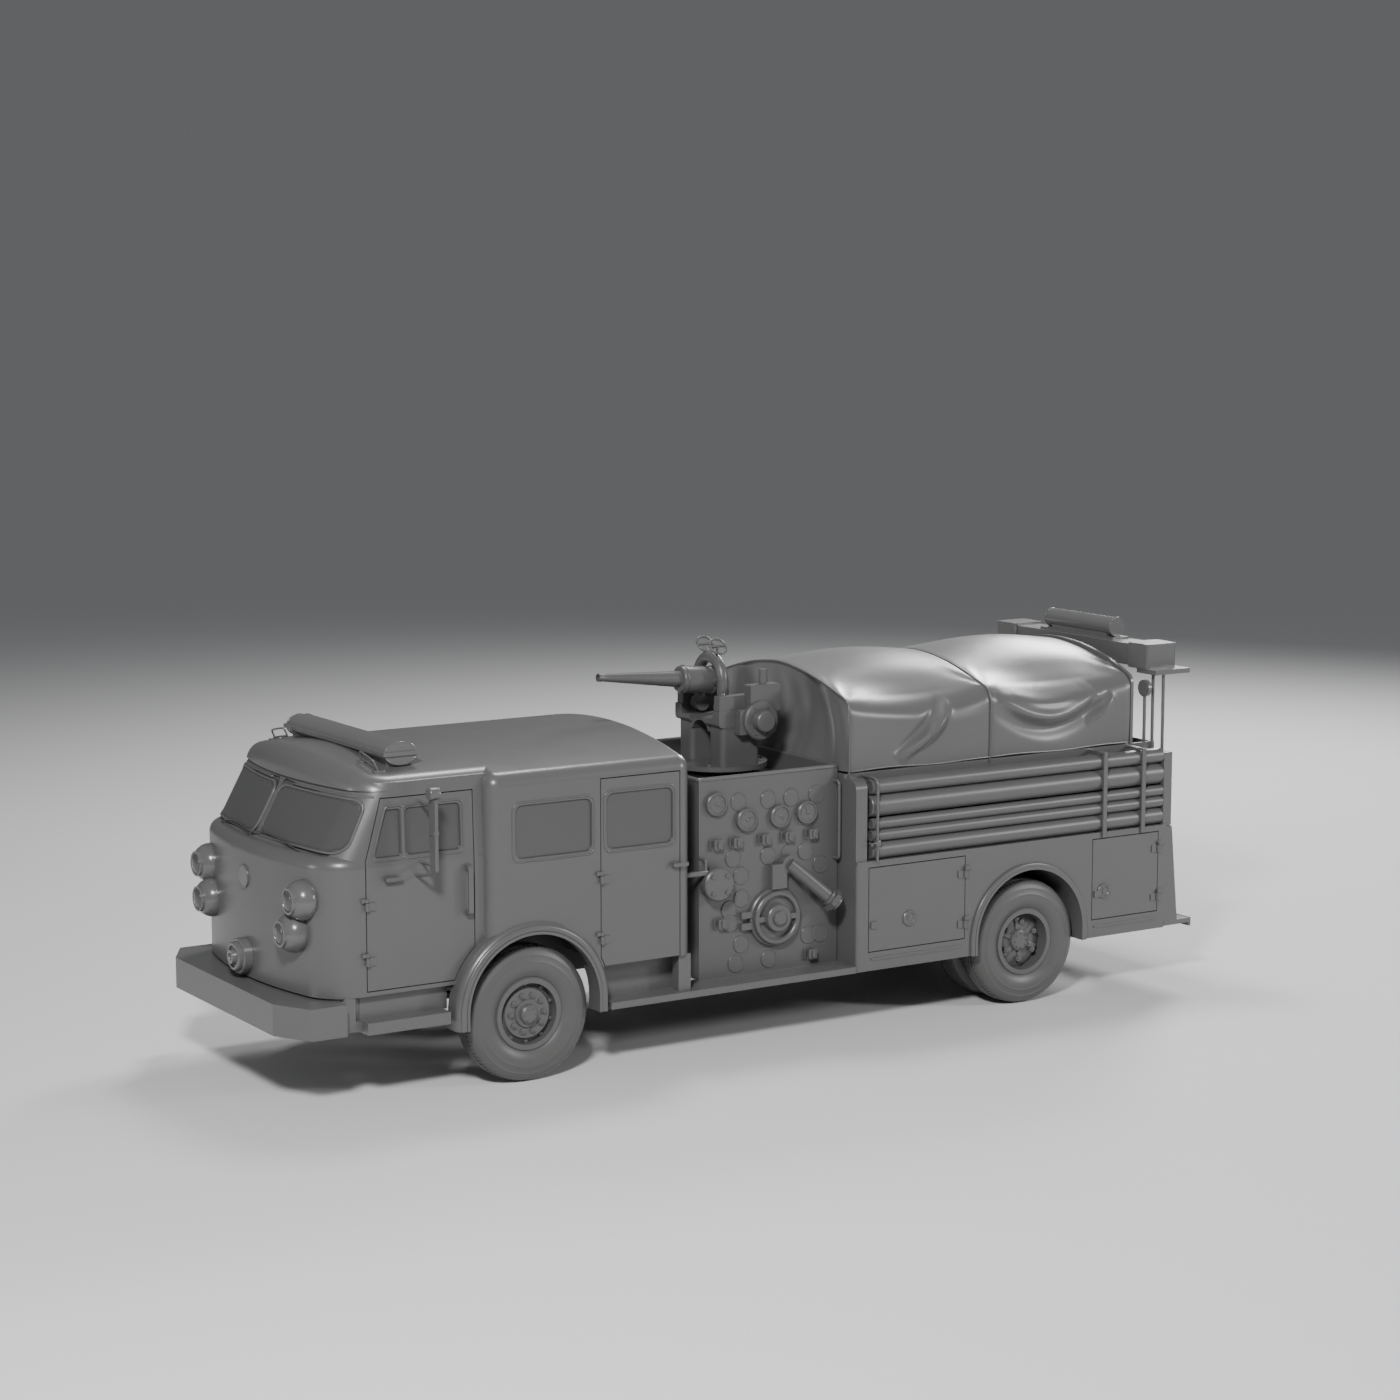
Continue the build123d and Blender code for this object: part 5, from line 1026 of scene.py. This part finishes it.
def makeGuard(hand):      # two feet on the roof, a low rail between them and a hoop that leans ahead
    x, up, lean = rails["guardX"], rails["guardUp"], rails["guardLean"]
    ahead, rise, bow = rails["guardRail"]
    (halfX, halfY), (below, above), edge = rails["guardFoot"]
    feet = [(hand * y, castOn("cab_roof", (x, hand * y, 9), (0, 0, -1)).z) for y in rails["guardY"]]
    blocks = [makeBlock((x - halfX, y - halfY, z - below), (x + halfX, y + halfY, z + above), edge)
              for y, z in feet]
    (y0, z0), (y1, z1) = feet
    rail = [(x + ahead, y0, z0 + rise), (x + ahead, (y0 + y1) / 2, (z0 + z1) / 2 + rise + bow),
            (x + ahead, y1, z1 + rise)]
    inner = hand * rails["guardIn"]
    hoop = [(x, y0, z0), (x + lean * 0.8, y0, z0 + up * 0.8), (x + lean, y0 + inner, z0 + up),
            (x + lean, y1 - inner, z1 + up), (x + lean * 0.8, y1, z1 + up * 0.8), (x, y1, z1)]
    return blocks + [makeTube([route], rails["guardR"]) for route in (rail, hoop)]


def makeRails():
    makeCoaming()
    handles = makeGrab(1) + makeGrab(-1) + makeGuard(1) + makeGuard(-1)
    finishPiece(joinPieces(handles), "grabHandles", "chassis", "plain_metal", 40)
    (near, out), (foot, top) = rails["riserY"], rails["riserZ"]
    risers = [makeHandedBlock(hand, (low, near, foot), (high, out, top), 0.003)
              for low, high in rails["riserX"] for hand in (1, -1)]
    finishPiece(joinPieces(risers), "stepRiserEnds", "chassis", "body_paint", 40)
    print("rails and brackets bent")


# front doors: a copy of each solid with a slimmer mirror head, then its glass, a round mirror and a stay

mirror = {"middle": (3.1365, 1.3262, 2.016), "from": 1.2145, "slim": (0.62, 0.56, 1.0), "drawTo": 1.3659,
          "headHalf": 0.022, "glassHalf": (0.037, 0.249), "glass": 0.005, "edge": 0.0018, "inset": 0.006,
          "sunk": 0.0012, "roundUp": 0.314, "roundR": 0.047, "clampUp": 0.02, "clamp": (0.018, 0.048, 0.014),
          "round": [(0, -0.042), (0.90, -0.041), (0.97, -0.038), (1, -0.032), (1, 0.036), (0.96, 0.041),
                    (0.89, 0.041), (0.86, 0.037), (0, 0.040)],
          "stay": (3.175, 1.118, 1.690), "stayFrom": (0.262, 0.284), "stayBend": (0.01, 0.020),
          "stayR": 0.013}


def makeMirrors():
    x, y, z = mirror["middle"]
    wide, tall = mirror["glassHalf"]
    back = x - mirror["headHalf"] * mirror["slim"][0]
    cx, cy, cz = mirror["clamp"]
    footX, footY, footZ = mirror["stay"]
    high, low = mirror["stayFrom"]
    bendIn, bendUp = mirror["stayBend"]
    up = z + mirror["clampUp"]
    for side, (hand, turn) in sides.items():
        body = f"front_door_{side}"
        door = copyNode(f"front_door_{side}")
        pickFaces(door, lambda center, normal: hand * center.y > mirror["from"])
        bpy.ops.transform.resize(value=mirror["slim"], center_override=(x, hand * mirror["drawTo"], z))
        setMode("OBJECT")
        finishPiece(door, f"frontDoor_{side}", body, "body_paint", 30)
        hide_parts(f"front_door_{side}")
        glass = makeBlock((back - mirror["glass"], hand * y - wide, z - tall),
                          (back, hand * y + wide, z + tall), mirror["edge"])
        pickFaces(glass, lambda center, normal: normal.x < -0.9)
        bpy.ops.mesh.inset(thickness=mirror["inset"])
        bpy.ops.transform.translate(value=(mirror["sunk"], 0, 0))
        setMode("OBJECT")
        finishPiece(glass, f"mirrorGlass_{side}", body, "window_glass", 30)
        small = turnPiece([(mirror["roundR"] * share, out) for share, out in mirror["round"]], 40)
        small.location, small.rotation_euler = (x, hand * y, z + mirror["roundUp"]), lookBack
        clamp = makeBlock((x - cx, hand * y - cy, up - cz), (x + cx + 0.001, hand * y + cy, up + cz), 0.004)
        route = [(x, y, z - high), (x, y - bendIn, z - low),
                 ((x + footX) / 2, (y + footY) / 2, footZ + bendUp), (footX, footY, footZ)]
        stay = makeTube([[(a, hand * b, c) for a, b, c in route]], mirror["stayR"])
        finishPiece(joinPieces([small, clamp, stay]), f"mirrorFittings_{side}", body, "body_paint", 40)
    print("mirrors set")


# deck gun: flange, gear and cap bolts, the barrel's grip rings, and a copy of the barrel with both handwheels
# set lower and tipped over

gunTrim = {"middle": (-0.18, 0.0), "flangeZ": 2.1095, "flangeRing": 0.362, "flangeBolts": 12,
           "legs": (0.115, -0.385, 0.015), "gear": (-0.31, 0.4495, 2.48), "gearRing": 0.124, "gearBolts": 6,
           "capZ": 2.6815, "capX": (-0.305, -0.035), "capY": 0.281,
           "flangeBolt": (0.017, 0.014), "gearBolt": (0.011, 0.008), "capBolt": (0.020, 0.016),
           "pivot": (-0.11, 0.0, 2.57), "up": 0.208, "tilt": 5.0, "rings": (0.030, 0.300), "ringR": 0.1135,
           "ring": [(-0.008, -0.011), (0, -0.009), (0.004, -0.004), (0.004, 0.004), (0, 0.009),
                    (-0.008, 0.011)],
           "wheel": (-0.110, 0.095, 3.118), "wheelFrom": 3.1065, "wheelTip": 48.0, "wheelDrop": 0.055}


def makeGunBolts():
    cx, cy = gunTrim["middle"]
    legY, legBack, legFront = gunTrim["legs"]
    places = []
    for angle in ringAngles(gunTrim["flangeBolts"], 0.5):
        x, y = cx + gunTrim["flangeRing"] * math.cos(angle), cy + gunTrim["flangeRing"] * math.sin(angle)
        if not (abs(y) > legY and legBack < x < legFront):      # clear of the two legs
            places.append(((x, y, gunTrim["flangeZ"]), (0, 0, angle)))
    groups = [copyToMany(makeBolt(*gunTrim["flangeBolt"]), places)]
    gx, gy, gz = gunTrim["gear"]
    reach = gunTrim["gearRing"]
    groups.append(copyToMany(makeBolt(*gunTrim["gearBolt"]),
                             [((gx + reach * math.cos(a), gy, gz + reach * math.sin(a)), lookLeft)
                              for a in ringAngles(gunTrim["gearBolts"])]))
    caps = bothHands([(x, gunTrim["capY"], gunTrim["capZ"]) for x in gunTrim["capX"]], (0, 0, 0))
    groups.append(copyToMany(makeBolt(*gunTrim["capBolt"]), caps))
    finishPiece(joinPieces(groups), "gunBolts", "gun_turret", "plain_metal", 30)


def makeBarrelRings():
    tilt, up, r = math.radians(gunTrim["tilt"]), gunTrim["up"], gunTrim["ringR"]
    px, py, pz = gunTrim["pivot"]
    rings = []
    for along in gunTrim["rings"]:
        ring = turnPiece([(r + rise, place) for rise, place in gunTrim["ring"]], 48)
        ring.location = (px + along * math.cos(tilt) - up * math.sin(tilt), py,
                         pz + along * math.sin(tilt) + up * math.cos(tilt))
        ring.rotation_euler = (0, math.pi / 2 - tilt, 0)
        rings.append(ring)
    finishPiece(joinPieces(rings), "barrelRings", "gun_barrel", "cast_metal", 40)


def makeGunTrim():
    makeGunBolts()
    makeBarrelRings()
    gun = copyNode("gun_barrel")
    wx, wy, wz = gunTrim["wheel"]
    for hand in (1, -1):
        pickFaces(gun, lambda center, normal: center.z > gunTrim["wheelFrom"] and hand * center.y > 0)
        bpy.ops.transform.rotate(value=math.radians(gunTrim["wheelTip"]), orient_axis="X",
                                 center_override=(wx, hand * wy, wz))
        bpy.ops.transform.translate(value=(0, 0, -gunTrim["wheelDrop"]))
        setMode("OBJECT")
    finishPiece(gun, "gunBarrelBody", "gun_barrel", "cast_metal", 30)
    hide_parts("gun_barrel")
    print("gun trim set")


# tread plate: raised lozenges on the steps and the tailboard, two leaning ways

tread = {"length": 0.034, "width": 0.009, "rise": 0.0022, "sunk": 0.001, "edge": 0.0016, "pitch": 0.048,
         "border": 0.02,
         "areas": [(-4.215, -3.965, -1.19, 1.19, 0.540), (-0.69, 1.545, 0.985, 1.20, 0.540),
                   (-0.69, 1.545, -1.20, -0.985, 0.540), (2.965, 3.610, 0.975, 1.195, 0.648),
                   (2.965, 3.610, -1.195, -0.975, 0.648)]}


def makeTreadPlates():
    halfLong, halfWide = tread["length"] / 2, tread["width"] / 2
    pitch, border = tread["pitch"], tread["border"]
    fields = []
    for x0, x1, y0, y1, z in tread["areas"]:
        pair = []
        for turn, shift in ((math.pi / 4, 0.0), (-math.pi / 4, pitch / 2)):
            bar = makeBlock((-halfLong, -halfWide, -tread["sunk"]), (halfLong, halfWide, tread["rise"]),
                            tread["edge"], 1)
            bar.location, bar.rotation_euler = (x0 + shift + border, y0 + shift + border, z), (0, 0, turn)
            pair.append(bar)
        field = joinPieces(pair)
        for axis, reach in ((0, x1 - x0), (1, y1 - y0)):
            step = [pitch if i == axis else 0 for i in range(3)]
            applyModifier(field, "ARRAY", use_relative_offset=False, use_constant_offset=True,
                          constant_offset_displace=step, count=int((reach - border) / pitch))
        fields.append(field)
    finishPiece(joinPieces(fields), "treadLozenges", "chassis", "plain_metal", 30)
    print("tread plates raised")


# light bar ends and the post lamps on the gantry

barTrim = {"bead": 0.006, "post": (-3.872, 1.017, 2.55), "postR": 0.062, "postDome": 0.022,
           # each bar: middle (x, z), how far out its ends are, and the bead's reach across and up
           "bars": [((3.16, 2.566), 0.856, 0.133, 0.084), ((-4.01, 3.009), 0.446, 0.082, 0.082)]}


def makeBarTrim():
    groups = []
    for hand in (1, -1):
        for (x, z), out, wide, tall in barTrim["bars"]:
            ring = [(x + wide * math.cos(a), hand * out, z + tall * math.sin(a)) for a in ringAngles(40)]
            groups.append(makeTube([ring], barTrim["bead"], closed=True))
    dome = turnPiece(domeProfile(barTrim["postR"], barTrim["postDome"]), 40)
    groups.append(copyToMany(dome, bothHands([barTrim["post"]], lookBack)))
    finishPiece(joinPieces(groups), "lightBarTrim", "chassis", "lamp_shell", 40)
    print("light bar trim set")


for makePiece in (makeCover, makeTyres, makeHubPlates, makeWheelBolts, makeSeals, makeLampGlasses, makeShield,
                  makeWipers, makePanelTrim, makeHoseEnds, makeSeats, makeArchRolls, makeRails, makeMirrors,
                  makeGunTrim, makeTreadPlates, makeBarTrim):
    makePiece()


# stage, light and camera

room = {"color": (0.62, 0.63, 0.65), "strength": 0.20, "floor": 300.0, "floorTone": 0.72,
        "near": 11.0, "far": 34.0}
lights = {      # place, aim, size, power
    "keyLight": ((11.0, 13.0, 13.0), (0.8, 0, 1.4), 2.4, 3700),
    "sideLight": ((-14.0, 13.0, 7.0), (-2, 0, 1.6), 2.4, 1450),
    "frontLight": ((19.0, -3.0, 5.0), (3, 0, 1.4), 3.0, 420),
    "topLight": ((-3.0, -4.0, 14.0), (0, 0, 1), 3.0, 1000),
    "backLight": ((-17.0, -11.0, 12.0), (0, 0, 1.5), 5.0, 3300),
}
view = {"place": (13.409, 21.250, 6.234), "turn": (81.812, 0.0, 147.749), "lens": 79.94, "sensor": 36.0,
        "far": 300}


def makeStage():      # pale floor that runs out into the colour of the room
    pickNothing()
    bpy.ops.mesh.primitive_plane_add(size=room["floor"], location=(0, 0, 0))
    floor = bpy.context.object
    floor.name = "floor"
    paper = bpy.data.materials.new("floorPaper")
    paper.use_nodes = True
    tree = paper.node_tree
    shader = tree.nodes["Principled BSDF"]
    shader.inputs["Base Color"].default_value = (room["floorTone"],) * 3 + (1,)
    shader.inputs["Roughness"].default_value = 0.9
    place = addNode(tree, "ShaderNodeTexCoord")["Object"]
    away = addNode(tree, "ShaderNodeVectorMath", {"operation": "LENGTH"}, place)["Value"]
    fade = addNode(tree, "ShaderNodeMapRange", {"interpolation_type": "SMOOTHSTEP"}, away, room["near"],
                   room["far"], 0.0, 1.0)
    glow = addNode(tree, "ShaderNodeEmission", Color=(*room["color"], 1), Strength=room["strength"])
    blend = addNode(tree, "ShaderNodeMixShader", None, fade[0], shader.outputs[0], glow[0])
    tree.links.new(blend[0], tree.nodes["Material Output"].inputs["Surface"])
    floor.data.materials.append(paper)


def makeLights():
    for name, (place, aim, size, power) in lights.items():
        pickNothing()
        bpy.ops.object.light_add(type="AREA", location=place)
        lamp = bpy.context.object
        lamp.name = name
        lamp.data.size, lamp.data.energy = size, power
        lamp.rotation_euler = (Vector(aim) - Vector(place)).to_track_quat("-Z", "Y").to_euler()
    world = bpy.data.worlds.new("softRoom")
    bpy.context.scene.world = world
    world.use_nodes = True
    sky = world.node_tree.nodes["Background"].inputs
    sky["Color"].default_value, sky["Strength"].default_value = (*room["color"], 1), room["strength"]


def makeCamera():
    pickNothing()
    bpy.ops.object.camera_add(location=view["place"], rotation=[math.radians(a) for a in view["turn"]])
    camera = bpy.context.object
    camera.name = "photoCamera"
    camera.data.lens, camera.data.sensor_width = view["lens"], view["sensor"]
    camera.data.clip_end = view["far"]
    camera.data.sensor_fit = "HORIZONTAL"
    bpy.context.scene.camera = camera


makeStage()
makeLights()
makeCamera()
print("stage, light and camera set")
